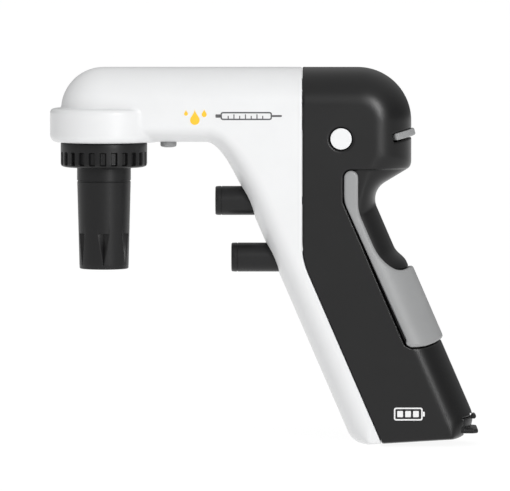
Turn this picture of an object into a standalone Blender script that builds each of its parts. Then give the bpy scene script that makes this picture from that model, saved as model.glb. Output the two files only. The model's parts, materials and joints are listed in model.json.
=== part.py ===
"""A motorized pipette controller: a pistol-shaped housing in four shells, two sprung push
triggers, a nose cone held by a ribbed collar nut, a fold-out bench stand, a speed lever,
a mode button and a charging socket behind a flap, with the pump, valves, hoses, cells,
board and switches inside.

All sizes below are in millimetres. X runs from the nose to the back of the handle, Y runs
across the housing and Z is up. While the pieces are made, X is measured from the nose's
axis and Z from the lowest point of the base. The last step moves the whole object so that
the origin is under the middle of its bounding box.
"""

import math

import bmesh
import bpy
from mathutils import Matrix, Vector

MM = 0.001

# ---------------------------------------------------------------- housing, side outline
HALF_WIDTH = 17.0           # half of the housing's width
WALL = 2.2                  # wall of the shells
HEAD_TOP = 158.0            # top of the head
HEAD_UNDER = 126.5          # flat underside of the head
DOME_RADIUS = 18.0          # rounded front of the head
HEAD_BACK = 129.0           # upright back of the head
TOP_CORNER_RADIUS = 22.5    # corner between the head's top and back
HEEL_RADIUS = 4.0           # corner under the head's back
FLANK_ANGLE = 31.0          # slope of the face under the head's back, degrees
SADDLE_RADIUS = 8.0         # hollow for the web of the thumb
SADDLE_FRONT = 114.0        # deepest point of that hollow
HANDLE_TILT = 23.4          # lean of the handle from upright, degrees
HANDLE_FRONT = 95.9         # distance of the handle's front line from the origin
HANDLE_BACK = 147.1         # distance of the handle's back line from the origin
NECK_BACK = 144.7           # the same for the narrower neck above the stand's plate
NECK_END = 82.7             # height where the neck starts to flare out to the back line
FLARE_END = 76.2            # height where it reaches the back line
BASE_SLOPE = 3.4            # slope of the base, degrees
BASE_LOW_X = 112.0          # where the flat foot's line crosses height zero
BASE_CROWN = 0.35            # how far the crowned form reaches below the flat foot before it is cut
TOE_RADIUS = 8.5            # front corner of the base
BASE_BACK_RADIUS = 9.0      # rear corner of the base
UNDER_END = 43.0            # where the head's underside starts to bend into the handle
UNDER_BEND = (47.8, 53.5)   # the two pull points of that bend along X
BEND_HEIGHT = 117.0         # height of the second pull point
BEND_END = 104.0            # height where the bend meets the handle's front line

# ---------------------------------------------------------------- rounding of the edges
HEAD_ROUNDING = 16.0        # how far the head's rounded edge reaches in from the outline
UNDER_ROUNDING = 7.5
FRONT_ROUNDING = 9.5
BACK_ROUNDING = 13.0
NECK_ROUNDING = 10.7
BASE_ROUNDING = 1.5
EDGE_STEPS = 4              # facets of the rounded edge, from the middle plane to the side

# ---------------------------------------------------------------- seams and fits
GAP = 0.3                   # parting gap between neighbouring pieces
SEAM_X = 83.2               # front and rear shells part here in the head
SEAM_BEND_HEIGHT = 77.8     # where the seam turns to follow the handle
SEAM_BEND_RADIUS = 30.0

# ---------------------------------------------------------------- nose
SKIRT_RADIUS = 22.6
SKIRT_TOP = 140.7
COLLAR_RADIUS = 18.15
COLLAR_TOP = HEAD_UNDER - GAP
COLLAR_BAND = 3.6           # height of the smooth band above the ribs
COLLAR_BOTTOM = 116.0
COLLAR_RIBS = 24
RIB_DEPTH = 0.9
SOCKET_RADIUS = 13.0
SOCKET_BOTTOM = 121.8
CONE_TOP_RADIUS = 11.3
CONE_BOTTOM_RADIUS = 10.3
CONE_BOTTOM = 73.3
CONE_WALL = 1.9
CONE_FLUTES = 6
FLUTE_TOP = 88.2
FLUTE_BOTTOM = 74.8
FLUTE_WIDTH = 4.6
FLUTE_DEPTH = 1.0
ADAPTER_MOUTH = 5.4         # radius of the mouth that takes the pipette

# ---------------------------------------------------------------- controls
TRIGGER_RADIUS = 6.1
TRIGGER_CLEARANCE = 0.3
TRIGGER_STROKE = 6.0
UPPER_TRIGGER = (46.7, 101.9)   # X of the face, height of the axis
LOWER_TRIGGER = (53.4, 78.1)
MODE_X = 27.1
MODE_RADIUS = 3.4
MODE_STICKS_OUT = 2.3
LEVER_PIVOT = (HEAD_BACK - 15.5, 126.9)
LEVER_RADIUS = 17.5
LEVER_THICK = 2.6
LEVER_LEAN = 14.0           # the lever's plane rises to the back by this, degrees
LEVER_FROM = -58.0          # the two edges of the lever at rest, degrees from +X
LEVER_TO = 24.0
LEVER_TRAVEL = 33.0

# ---------------------------------------------------------------- bench stand
STAND_PIVOT = (103.5, 112.2)
STAND_ARM = 2.95            # half width of an arm at its pivot
STAND_FRONT = 14.3          # front edge of the side cheeks, in from the handle's back line
STAND_ARM_BACK = 10.4       # rear edge of the arms, in from the same line
STAND_TOP = 74.8            # top edge of the plate at the back
STAND_BOTTOM = 41.2         # lowest point of the cheeks
STAND_PROUD = 0.4           # how far the arms stand out of the housing's sides
STAND_BACK_PROUD = 1.5      # how far the plate stands out of the housing's back
STAND_INSIDE = 14.5         # half width between the arms
STAND_THICK = 2.85          # thickness of the plate
STAND_CLEARANCE = 0.35
LEDGE_HEIGHT = 115.5        # shoulder that the arms stop against
PIN_RADIUS = 1.5

# ---------------------------------------------------------------- screws and caps
CAP_PLACE = (99.3, 128.4)
CAP_RADIUS = 4.45
CAP_THICK = 1.0
SCREW_RADIUS = 1.5
HIDDEN_SCREWS = {"middle": (108.5, 88.0), "lower": (118.5, 70.0)}
HIDDEN_SCREW_SINK = 0.9     # how far their heads sit below the pocket's floor

# ---------------------------------------------------------------- inside
CELL_RADIUS = 7.1
CELL_LENGTH = 48.0
PUMP_PLACE = (44.0, 139.6)  # X of the front face, height of the axis
PUMP_RADIUS = 9.3
PUMP_LENGTH = 15.0
MOTOR_RADIUS = 8.8
MOTOR_LENGTH = 24.0
HOSE_OUTER = 2.1
HOSE_INNER = 1.5
NIPPLE_RADIUS = 1.15
BLOCK_X = (88.6, 100.0)
BLOCK_Z = (66.0, 110.0)
BLOCK_HALF_WIDTH = 9.0
PORT_SPACING = 5.2
PORT_X = 93.5
NIPPLE_LENGTH = 3.0

# ---------------------------------------------------------------- charging socket
PORT_ANGLE = -20.0          # direction that the socket faces, degrees from +X
PORT_HALF_WIDTH = 6.0
FLAP_HALF_WIDTH = 12.5
FLAP_THICK = 1.4
FLAP_FROM = -50.0           # the flap's two edges around the base's rear corner
FLAP_TO = 4.0
FLAP_LIP = 3.6              # how far the pull lip stands out
FLAP_LIP_DROP = 5.0         # middle of the lip below the corner's centre


# ================================================================ small helpers
def clear_scene():
    for thing in list(bpy.data.objects):
        bpy.data.objects.remove(thing, do_unlink=True)


def new_collection(name):
    collection = bpy.data.collections.new(name)
    bpy.context.scene.collection.children.link(collection)
    return collection


def polar(centre, radius, degrees):
    turn = math.radians(degrees)
    return (centre[0] + radius * math.cos(turn), centre[1] + radius * math.sin(turn))


def arc(centre, radius, start, end, steps):
    """Points on an arc from one angle to the other, both ends included."""
    return [polar(centre, radius, start + (end - start) * i / steps) for i in range(steps + 1)]


def bezier(p0, p1, p2, p3, steps):
    """Points on a cubic Bezier, both ends included."""
    points = []
    for i in range(steps + 1):
        t = i / steps
        weights = ((1 - t) ** 3, 3 * t * (1 - t) ** 2, 3 * t * t * (1 - t), t ** 3)
        points.append(tuple(sum(w * p[k] for w, p in zip(weights, (p0, p1, p2, p3))) for k in (0, 1)))
    return points


def between(a, b, t):
    return tuple(u + (v - u) * t for u, v in zip(a, b))


def spread(a, b, count):
    """count points evenly from a to b, both included; one point gives a alone."""
    return [between(a, b, i / max(count - 1, 1)) for i in range(count)]


class Workshop:
    """Holds the collections, the parent empties and the materials, and makes objects in them."""

    def __init__(self):
        self.parts = new_collection("pipette_controller")
        self.helpers = new_collection("helpers")
        self.root = self.empty("controller_root", (0, 0, 0), None)
        self.materials = {}

    def empty(self, name, place, parent):
        empty = bpy.data.objects.new(name, None)
        empty.empty_display_size = 0.01
        empty.parent = parent
        origin = parent.matrix_world.translation if parent else Vector()
        empty.location = Vector(place) * MM - origin
        self.parts.objects.link(empty)
        bpy.context.view_layer.update()
        return empty

    def material(self, name, colour, metallic=0.0, roughness=0.5, alpha=1.0):
        made = bpy.data.materials.new(name)
        made.use_nodes = True
        shader = made.node_tree.nodes["Principled BSDF"]
        shader.inputs["Base Color"].default_value = (*colour, 1)
        shader.inputs["Metallic"].default_value = metallic
        shader.inputs["Roughness"].default_value = roughness
        shader.inputs["Alpha"].default_value = alpha
        self.materials[name] = made
        return made

    def place(self, obj, material, parent):
        """Puts a piece among the parts, under its parent, without moving it."""
        for collection in list(obj.users_collection):
            collection.objects.unlink(obj)
        self.parts.objects.link(obj)
        obj.data.materials.clear()
        obj.data.materials.append(self.materials[material])
        parent = parent or self.root
        bpy.context.view_layer.update()
        world = obj.matrix_world.copy()
        obj.parent = parent
        obj.matrix_parent_inverse = parent.matrix_world.inverted()
        obj.matrix_world = world
        return obj

    def helper(self, obj):
        """Hides a cutter from the render and keeps it among the helpers."""
        for collection in list(obj.users_collection):
            collection.objects.unlink(obj)
        self.helpers.objects.link(obj)
        obj.hide_render = True
        obj.display_type = "WIRE"
        return obj


def mesh_object(name, points, faces):
    """An object from points in millimetres and faces, with its faces turned outwards."""
    mesh = bpy.data.meshes.new(name)
    mesh.from_pydata([Vector(point) * MM for point in points], [], faces)
    body = bmesh.new()
    body.from_mesh(mesh)
    bmesh.ops.remove_doubles(body, verts=body.verts, dist=1e-7)
    bmesh.ops.triangulate(body, faces=[face for face in body.faces if len(face.verts) > 3])
    bmesh.ops.recalc_face_normals(body, faces=body.faces)
    body.to_mesh(mesh)
    body.free()
    obj = bpy.data.objects.new(name, mesh)
    bpy.context.scene.collection.objects.link(obj)
    return obj


def loft(name, rings):
    """A closed solid through rings of equal length, with a flat face at each end."""
    count = len(rings[0])
    points = [point for ring in rings for point in ring]
    faces = [list(range(count))[::-1], [len(points) - count + i for i in range(count)]]
    for row in range(len(rings) - 1):
        for i in range(count):
            j = (i + 1) % count
            faces.append((row * count + i, row * count + j, (row + 1) * count + j, (row + 1) * count + i))
    return mesh_object(name, points, faces)


def prism(name, outline, low_y, high_y):
    """A side-view outline carried straight across from one Y to another."""
    return loft(name, [[(x, y, z) for x, z in outline] for y in (low_y, high_y)])


def turned(name, profile, place, axis, steps=28):
    """A solid of revolution. The profile lists (radius, height along the axis), top first."""
    mesh = bpy.data.meshes.new(name)
    closed = profile[0] == profile[-1]
    points = [(radius * MM, 0, height * MM) for radius, height in profile[:len(profile) - closed]]
    edges = [(i, (i + 1) % len(points)) for i in range(len(profile) - 1)]
    mesh.from_pydata(points, edges, [])
    obj = bpy.data.objects.new(name, mesh)
    bpy.context.scene.collection.objects.link(obj)
    screw = obj.modifiers.new("turn", "SCREW")
    screw.steps = screw.render_steps = steps
    screw.use_merge_vertices = True
    screw.merge_threshold = 0.00001
    screw.use_normal_calculate = False
    obj.rotation_mode = "QUATERNION"
    obj.rotation_quaternion = Vector((0, 0, 1)).rotation_difference(Vector(axis))
    obj.location = Vector(place) * MM
    return obj


def rod(name, radius, start, end, steps=24, edge=0.0):
    """A round bar from one point to another, with a small chamfer at both ends."""
    start, end = Vector(start), Vector(end)
    length = (end - start).length
    profile = [(0, length)]
    if edge:
        profile += [(radius - edge, length), (radius, length - edge), (radius, edge), (radius - edge, 0)]
    else:
        profile += [(radius, length), (radius, 0)]
    profile.append((0, 0))
    return turned(name, profile, start, (end - start).normalized(), steps)


def tube(name, outer, inner, start, end, steps=28):
    """A round sleeve with an open bore from one point to another."""
    start, end = Vector(start), Vector(end)
    length = (end - start).length
    profile = [(outer, length), (outer, 0), (inner, 0), (inner, length), (outer, length)]
    return turned(name, profile, start, (end - start).normalized(), steps)


def box(name, low, high, edge=0.0):
    """An upright box between two corners, with its edges rounded by a bevel."""
    bpy.ops.mesh.primitive_cube_add(size=1)
    obj = bpy.context.object
    obj.name = name
    size = [(b - a) * MM for a, b in zip(low, high)]
    middle = [(a + b) / 2 * MM for a, b in zip(low, high)]
    obj.data.transform(Matrix.Translation(middle) @ Matrix.Diagonal((*size, 1)))
    if edge:
        bevel = obj.modifiers.new("edges", "BEVEL")
        bevel.width = edge * MM
        bevel.segments = 1
    return obj


def tilt_about(obj, pivot, degrees):
    """Turns a piece about the Y direction through a point; positive tips its top to +X."""
    pivot = Vector(pivot) * MM
    turn = Matrix.Rotation(math.radians(degrees), 4, "Y")
    bpy.context.view_layer.update()
    obj.matrix_world = Matrix.Translation(pivot) @ turn @ Matrix.Translation(-pivot) @ obj.matrix_world
    return obj


def boolean(obj, other, operation):
    modifier = obj.modifiers.new(f"{operation.lower()} {other.name}", "BOOLEAN")
    modifier.operation = operation
    modifier.solver = "EXACT"
    modifier.object = other
    return obj


def tidied(obj):
    """Joins the flat facets that Booleans leave split, so the mesh stays light."""
    dissolve = obj.modifiers.new("join flat facets", "DECIMATE")
    dissolve.decimate_type = "DISSOLVE"
    dissolve.angle_limit = math.radians(0.6)
    return obj


def baked(obj):
    """Replaces an object's modifiers and curve by the mesh that they make."""
    bpy.context.view_layer.update()
    graph = bpy.context.evaluated_depsgraph_get()
    mesh = bpy.data.meshes.new_from_object(obj.evaluated_get(graph))
    mesh.name = obj.name
    body = bmesh.new()
    body.from_mesh(mesh)
    bmesh.ops.remove_doubles(body, verts=body.verts, dist=1e-7)
    bmesh.ops.triangulate(body, faces=body.faces)
    body.to_mesh(mesh)
    body.free()
    result = bpy.data.objects.new(obj.name, mesh)
    result.matrix_world = obj.matrix_world
    name = obj.name
    bpy.data.objects.remove(obj, do_unlink=True)
    result.name = name
    bpy.context.scene.collection.objects.link(result)
    return result


def smooth_path(points, steps):
    """Points on a smooth line through the given ones (Catmull-Rom)."""
    ends = [points[0], *points, points[-1]]
    path = []
    for i in range(1, len(ends) - 2):
        p0, p1, p2, p3 = (Vector(ends[i + k]) for k in (-1, 0, 1, 2))
        for step in range(steps):
            t = step / steps
            a = 2 * p1
            b = (p2 - p0) * t
            c = (2 * p0 - 5 * p1 + 4 * p2 - p3) * t * t
            d = (3 * p1 - p0 - 3 * p2 + p3) * t ** 3
            path.append((a + b + c + d) / 2)
    path.append(Vector(points[-1]))
    return path


def wire(name, path, radius):
    """A round wire along a path, with closed ends."""
    curve = bpy.data.curves.new(name, "CURVE")
    curve.dimensions = "3D"
    curve.bevel_depth = radius * MM
    curve.bevel_resolution = 1
    curve.use_fill_caps = True
    spline = curve.splines.new("POLY")
    spline.points.add(len(path) - 1)
    for point, place in zip(spline.points, path):
        point.co = (*(Vector(place) * MM), 1)
    obj = bpy.data.objects.new(name, curve)
    bpy.context.scene.collection.objects.link(obj)
    return obj


def hose(shop, name, points, material, parent=None):
    """A hose with an open bore: its outside less a thinner bar that runs out of both ends."""
    path = smooth_path(points, 2)
    first = path[0] + (path[0] - path[1]).normalized() * 0.5
    last = path[-1] + (path[-1] - path[-2]).normalized() * 0.5
    outside = baked(wire(name, path, HOSE_OUTER))
    bore = shop.helper(baked(wire(f"{name}_bore", [first, *path[1:-1], last], HOSE_INNER)))
    boolean(outside, bore, "DIFFERENCE")
    return shop.place(outside, material, parent)


# ================================================================ housing outline
def tilted(distance, along):
    """A point given by its distance along the handle's normal and its height."""
    normal = (math.cos(math.radians(HANDLE_TILT)), math.sin(math.radians(HANDLE_TILT)))
    return ((distance - normal[1] * along) / normal[0], along)


def handle_normal():
    return (math.cos(math.radians(HANDLE_TILT)), math.sin(math.radians(HANDLE_TILT)))


def base_up():
    return (-math.sin(math.radians(BASE_SLOPE)), math.cos(math.radians(BASE_SLOPE)))


def shift(point, direction, distance):
    return (point[0] + direction[0] * distance, point[1] + direction[1] * distance)


def base_corner(line_distance, radius, inward):
    """Centre of the arc between the base and the handle's front or back line."""
    normal, up = handle_normal(), base_up()
    rise = math.tan(math.radians(BASE_SLOPE))
    wanted = line_distance + inward * radius
    lift = (radius - BASE_CROWN) / up[1]
    x = (wanted - normal[1] * (lift - BASE_LOW_X * rise)) / (normal[0] + normal[1] * rise)
    return (x, (x - BASE_LOW_X) * rise + lift)


def heel_centre():
    """Centre of the corner between the head's back and the sloping flank."""
    slope = math.radians(FLANK_ANGLE)
    saddle = saddle_centre()
    x = HEAD_BACK - HEEL_RADIUS
    offset = (HEEL_RADIUS + SADDLE_RADIUS + (x - saddle[0]) * math.sin(slope)) / math.cos(slope)
    return (x, saddle[1] + offset)


def saddle_centre():
    x = SADDLE_FRONT + SADDLE_RADIUS
    normal = handle_normal()
    return (x, (NECK_BACK + SADDLE_RADIUS - normal[0] * x) / normal[1])


def housing_outline():
    """The side outline as (point on the outline, matching point where the flat side starts)."""
    normal, up = handle_normal(), base_up()
    back = (-normal[0], -normal[1])
    flank = 90 + FLANK_ANGLE
    tilt = HANDLE_TILT
    pairs = []

    def add(points, targets):
        for point, target in zip(points, targets):
            if not pairs or (Vector(pairs[-1][0]) - Vector(point)).length > 0.01:
                pairs.append((point, target))

    dome = (0, HEAD_TOP - DOME_RADIUS)
    left = DOME_RADIUS - HEAD_ROUNDING
    add(arc(dome, DOME_RADIUS, 180, 90, 5), arc(dome, left, 180, 90, 5))
    corner = (HEAD_BACK - TOP_CORNER_RADIUS, HEAD_TOP - TOP_CORNER_RADIUS)
    left = TOP_CORNER_RADIUS - HEAD_ROUNDING
    add(arc(corner, TOP_CORNER_RADIUS, 90, 0, 5), arc(corner, left, 90, 0, 5))
    heel = heel_centre()
    heel_inner = (HEAD_BACK - HEAD_ROUNDING, min(heel[1] + 5.4, corner[1] - 3.0))
    points = arc(heel, HEEL_RADIUS, 0, FLANK_ANGLE - 90, 3)
    add(points, spread(heel_inner, shift(heel_inner, (0, -1), 2.0), len(points)))
    saddle = saddle_centre()
    points = arc(saddle, SADDLE_RADIUS, flank, 180, 3) + arc(saddle, SADDLE_RADIUS, 180, 180 + tilt, 2)[1:]
    neck_top = points[-1]
    targets = spread(shift(points[0], (-0.9, 0.43), 9.2), shift(neck_top, back, NECK_ROUNDING), len(points))
    add(points, targets)
    neck_low = tilted(NECK_BACK, NECK_END)
    flare_low = tilted(HANDLE_BACK, FLARE_END)
    drop = (NECK_END - FLARE_END) / 2
    along = (normal[1], -normal[0])
    flare = bezier(neck_low, shift(neck_low, along, drop), shift(flare_low, along, -drop), flare_low, 3)
    targets = spread(shift(neck_low, back, NECK_ROUNDING), shift(flare_low, back, BACK_ROUNDING), len(flare))
    add(flare, targets)
    rear = base_corner(HANDLE_BACK, BASE_BACK_RADIUS, -1)
    points = arc(rear, BASE_BACK_RADIUS, tilt, BASE_SLOPE - 90, 6)
    start = shift(points[0], back, BACK_ROUNDING)
    add(points, spread(start, shift(points[-1], up, BASE_ROUNDING), len(points)))
    toe = base_corner(HANDLE_FRONT, TOE_RADIUS, 1)
    points = arc(toe, TOE_RADIUS, BASE_SLOPE - 90, tilt - 180, 4)
    end = shift(points[-1], normal, FRONT_ROUNDING)
    add(points, spread(shift(points[0], up, BASE_ROUNDING), end, len(points)))
    bend_end = tilted(HANDLE_FRONT, BEND_END)
    points = bezier(bend_end, (UNDER_BEND[1], BEND_HEIGHT), (UNDER_BEND[0], HEAD_UNDER), (UNDER_END, HEAD_UNDER), 6)
    targets = []
    for i, point in enumerate(points):
        turn = math.radians(tilt + (90 - tilt) * i / 6)
        depth = FRONT_ROUNDING + (UNDER_ROUNDING - FRONT_ROUNDING) * i / 6
        targets.append(shift(point, (math.cos(turn), math.sin(turn)), depth))
    add(points, targets)
    chin = (6 - DOME_RADIUS, HEAD_UNDER + 6)
    points = arc(chin, 6, 270, 180, 2)
    inner = HEAD_ROUNDING - DOME_RADIUS
    add(points, spread((inner, HEAD_UNDER + UNDER_ROUNDING), (inner, HEAD_UNDER + 9.5), len(points)))
    return pairs


def form(name, pairs, inset, half_width):
    """The housing's outer form, drawn in by an inset and given another half width."""
    count = len(pairs)
    outer = []
    for i in range(count):
        before = Vector(pairs[i - 1][0])
        after = Vector(pairs[(i + 1) % count][0])
        here = Vector(pairs[i][0])
        first, second = (here - before).normalized(), (after - here).normalized()
        turn = (first + second).normalized()
        inward = Vector((turn.y, -turn.x))
        stretch = 1 / max(0.7, inward.dot(Vector((first.y, -first.x))))
        outer.append(here + inward * inset * stretch)
    targets = []
    for point, (_, target) in zip(outer, pairs):
        reach = Vector(target) - point
        least = max(inset, 0) * 0.4 + 0.8
        targets.append(Vector(target) if reach.length > least else point + reach.normalized() * least)
    rings = []
    for step in range(-EDGE_STEPS, EDGE_STEPS + 1):
        angle = math.pi / 2 * step / EDGE_STEPS
        blend = 1 - math.cos(angle)
        y = half_width * math.sin(angle)
        rings.append([(*between(point, target, blend), y) for point, target in zip(outer, targets)])
    return loft(name, [[(x, y, z) for x, z, y in ring] for ring in rings])


def seam_line(offset):
    """The seam between the front and rear shells, moved back by an offset, top to bottom."""
    tilt = HANDLE_TILT
    start = (SEAM_X, SEAM_BEND_HEIGHT)
    reach = SEAM_BEND_RADIUS * math.tan(math.radians(tilt / 2))
    centre = (SEAM_X + SEAM_BEND_RADIUS, SEAM_BEND_HEIGHT + reach)
    bend = arc(centre, SEAM_BEND_RADIUS - offset, 180, 180 + tilt, 3)
    far = (start[1] + 30) / math.cos(math.radians(tilt))
    low = shift(polar(centre, SEAM_BEND_RADIUS, 180 + tilt), (math.sin(math.radians(tilt)), -math.cos(math.radians(tilt))), far)
    low = shift(low, handle_normal(), offset)
    return [(SEAM_X + offset, HEAD_TOP + 20), *bend, low]


# ================================================================ stand outline
def stand_edge(distance, height):
    """A point given by its distance in from the handle's back line, and its height."""
    return tilted(HANDLE_BACK - distance, height)


def stand_left_bend(margin):
    """Where the arm's upright front edge meets the cheeks' sloping one."""
    x = STAND_PIVOT[0] - STAND_ARM - margin
    normal = handle_normal()
    return (x, (HANDLE_BACK - STAND_FRONT - margin - normal[0] * x) / normal[1])


def stand_low_edge(margin):
    """The convex lower edge of the cheeks and plate, from back to front."""
    low = STAND_BOTTOM - margin
    return [stand_edge(-8, low + 6.6), stand_edge(-0.3, low + 2.9), stand_edge(6.9, low + 0.4),
            stand_edge(STAND_FRONT - 1.5, low), stand_edge(STAND_FRONT + margin, low + 1.2)]


def stand_outline():
    """Side view of the stand. It runs past the handle's back, where the outer form ends it."""
    arm_right = STAND_PIVOT[0] + STAND_ARM
    top = STAND_TOP
    points = arc(STAND_PIVOT, STAND_ARM, 180, 0, 8)
    points += [(arm_right, top + 24.7), stand_edge(STAND_ARM_BACK, top + 21.2)]
    points += [stand_edge(STAND_ARM_BACK, top + 8.5), stand_edge(9.9, top + 4.6), stand_edge(8.3, top + 1.2)]
    points += [stand_edge(5.8, top - 1.3), stand_edge(2.6, top - 1.6), stand_edge(-1.7, top), stand_edge(-8, top + 2.6)]
    return points + stand_low_edge(0) + [stand_left_bend(0)]


def pocket_outline(margin):
    """Side view of the hollow that the arms swing in, open to the back."""
    ledge = LEDGE_HEIGHT + margin - STAND_CLEARANCE
    far = HEAD_BACK + 25
    points = arc(STAND_PIVOT, ledge - STAND_PIVOT[1], 180, 90, 5)
    start = stand_left_bend(margin)
    points[0] = (start[0], STAND_PIVOT[1])
    points[1] = (max(points[1][0], start[0]), points[1][1])
    return points + [(far, ledge)] + stand_low_edge(margin) + [start]


def plate_top_line(margin):
    """The line just above the plate, from the cheeks' front edge to well behind the handle."""
    top = STAND_TOP + margin
    front = stand_edge(STAND_FRONT + margin, top - 1.6)
    return [front, stand_edge(2.6, top - 1.6), stand_edge(-1.7, top), stand_edge(-8, top + 2.6)]


def plate_outline(margin):
    """Side view of the deeper hollow under the stand's plate."""
    return plate_top_line(margin) + stand_low_edge(margin)


# ================================================================ housing
def rear_corner():
    return base_corner(HANDLE_BACK, BASE_BACK_RADIUS, -1)


def sector(centre, inner, outer, start, end, steps=8):
    """Outline of a ring sector in side view."""
    return arc(centre, outer, start, end, steps) + arc(centre, inner, end, start, steps)


def skirt_profile(inset):
    radius, top, low = SKIRT_RADIUS - inset, SKIRT_TOP - inset, HEAD_UNDER + inset
    crown = [(radius - 1.7 + dx, top - 1.7 + dz) for dx, dz in arc((0, 0), 1.7, 90, 0, 2)]
    rim = [(radius - 3.0 + dx, low + 3.0 + dz) for dx, dz in arc((0, 0), 3.0, 0, -90, 2)]
    return [(0, top), *crown, *rim, (0, low)]


def lever_frame(obj):
    """Moves a piece made flat around the origin to the speed lever's tilted plane."""
    bpy.context.view_layer.update()
    place = Vector((LEVER_PIVOT[0], 0, LEVER_PIVOT[1])) * MM
    turn = Matrix.Rotation(math.radians(-LEVER_LEAN), 4, "Y")
    obj.matrix_world = Matrix.Translation(place) @ turn @ obj.matrix_world
    return obj


def flat_plate(name, outline, low, high):
    """A plate with the given plan outline between two heights."""
    return loft(name, [[(x, y, z) for x, y in outline] for z in (low, high)])


def fan(inner, outer, start, end, steps=12):
    return arc((0, 0), outer, start, end, steps) + arc((0, 0), inner, end, start, steps)


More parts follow.
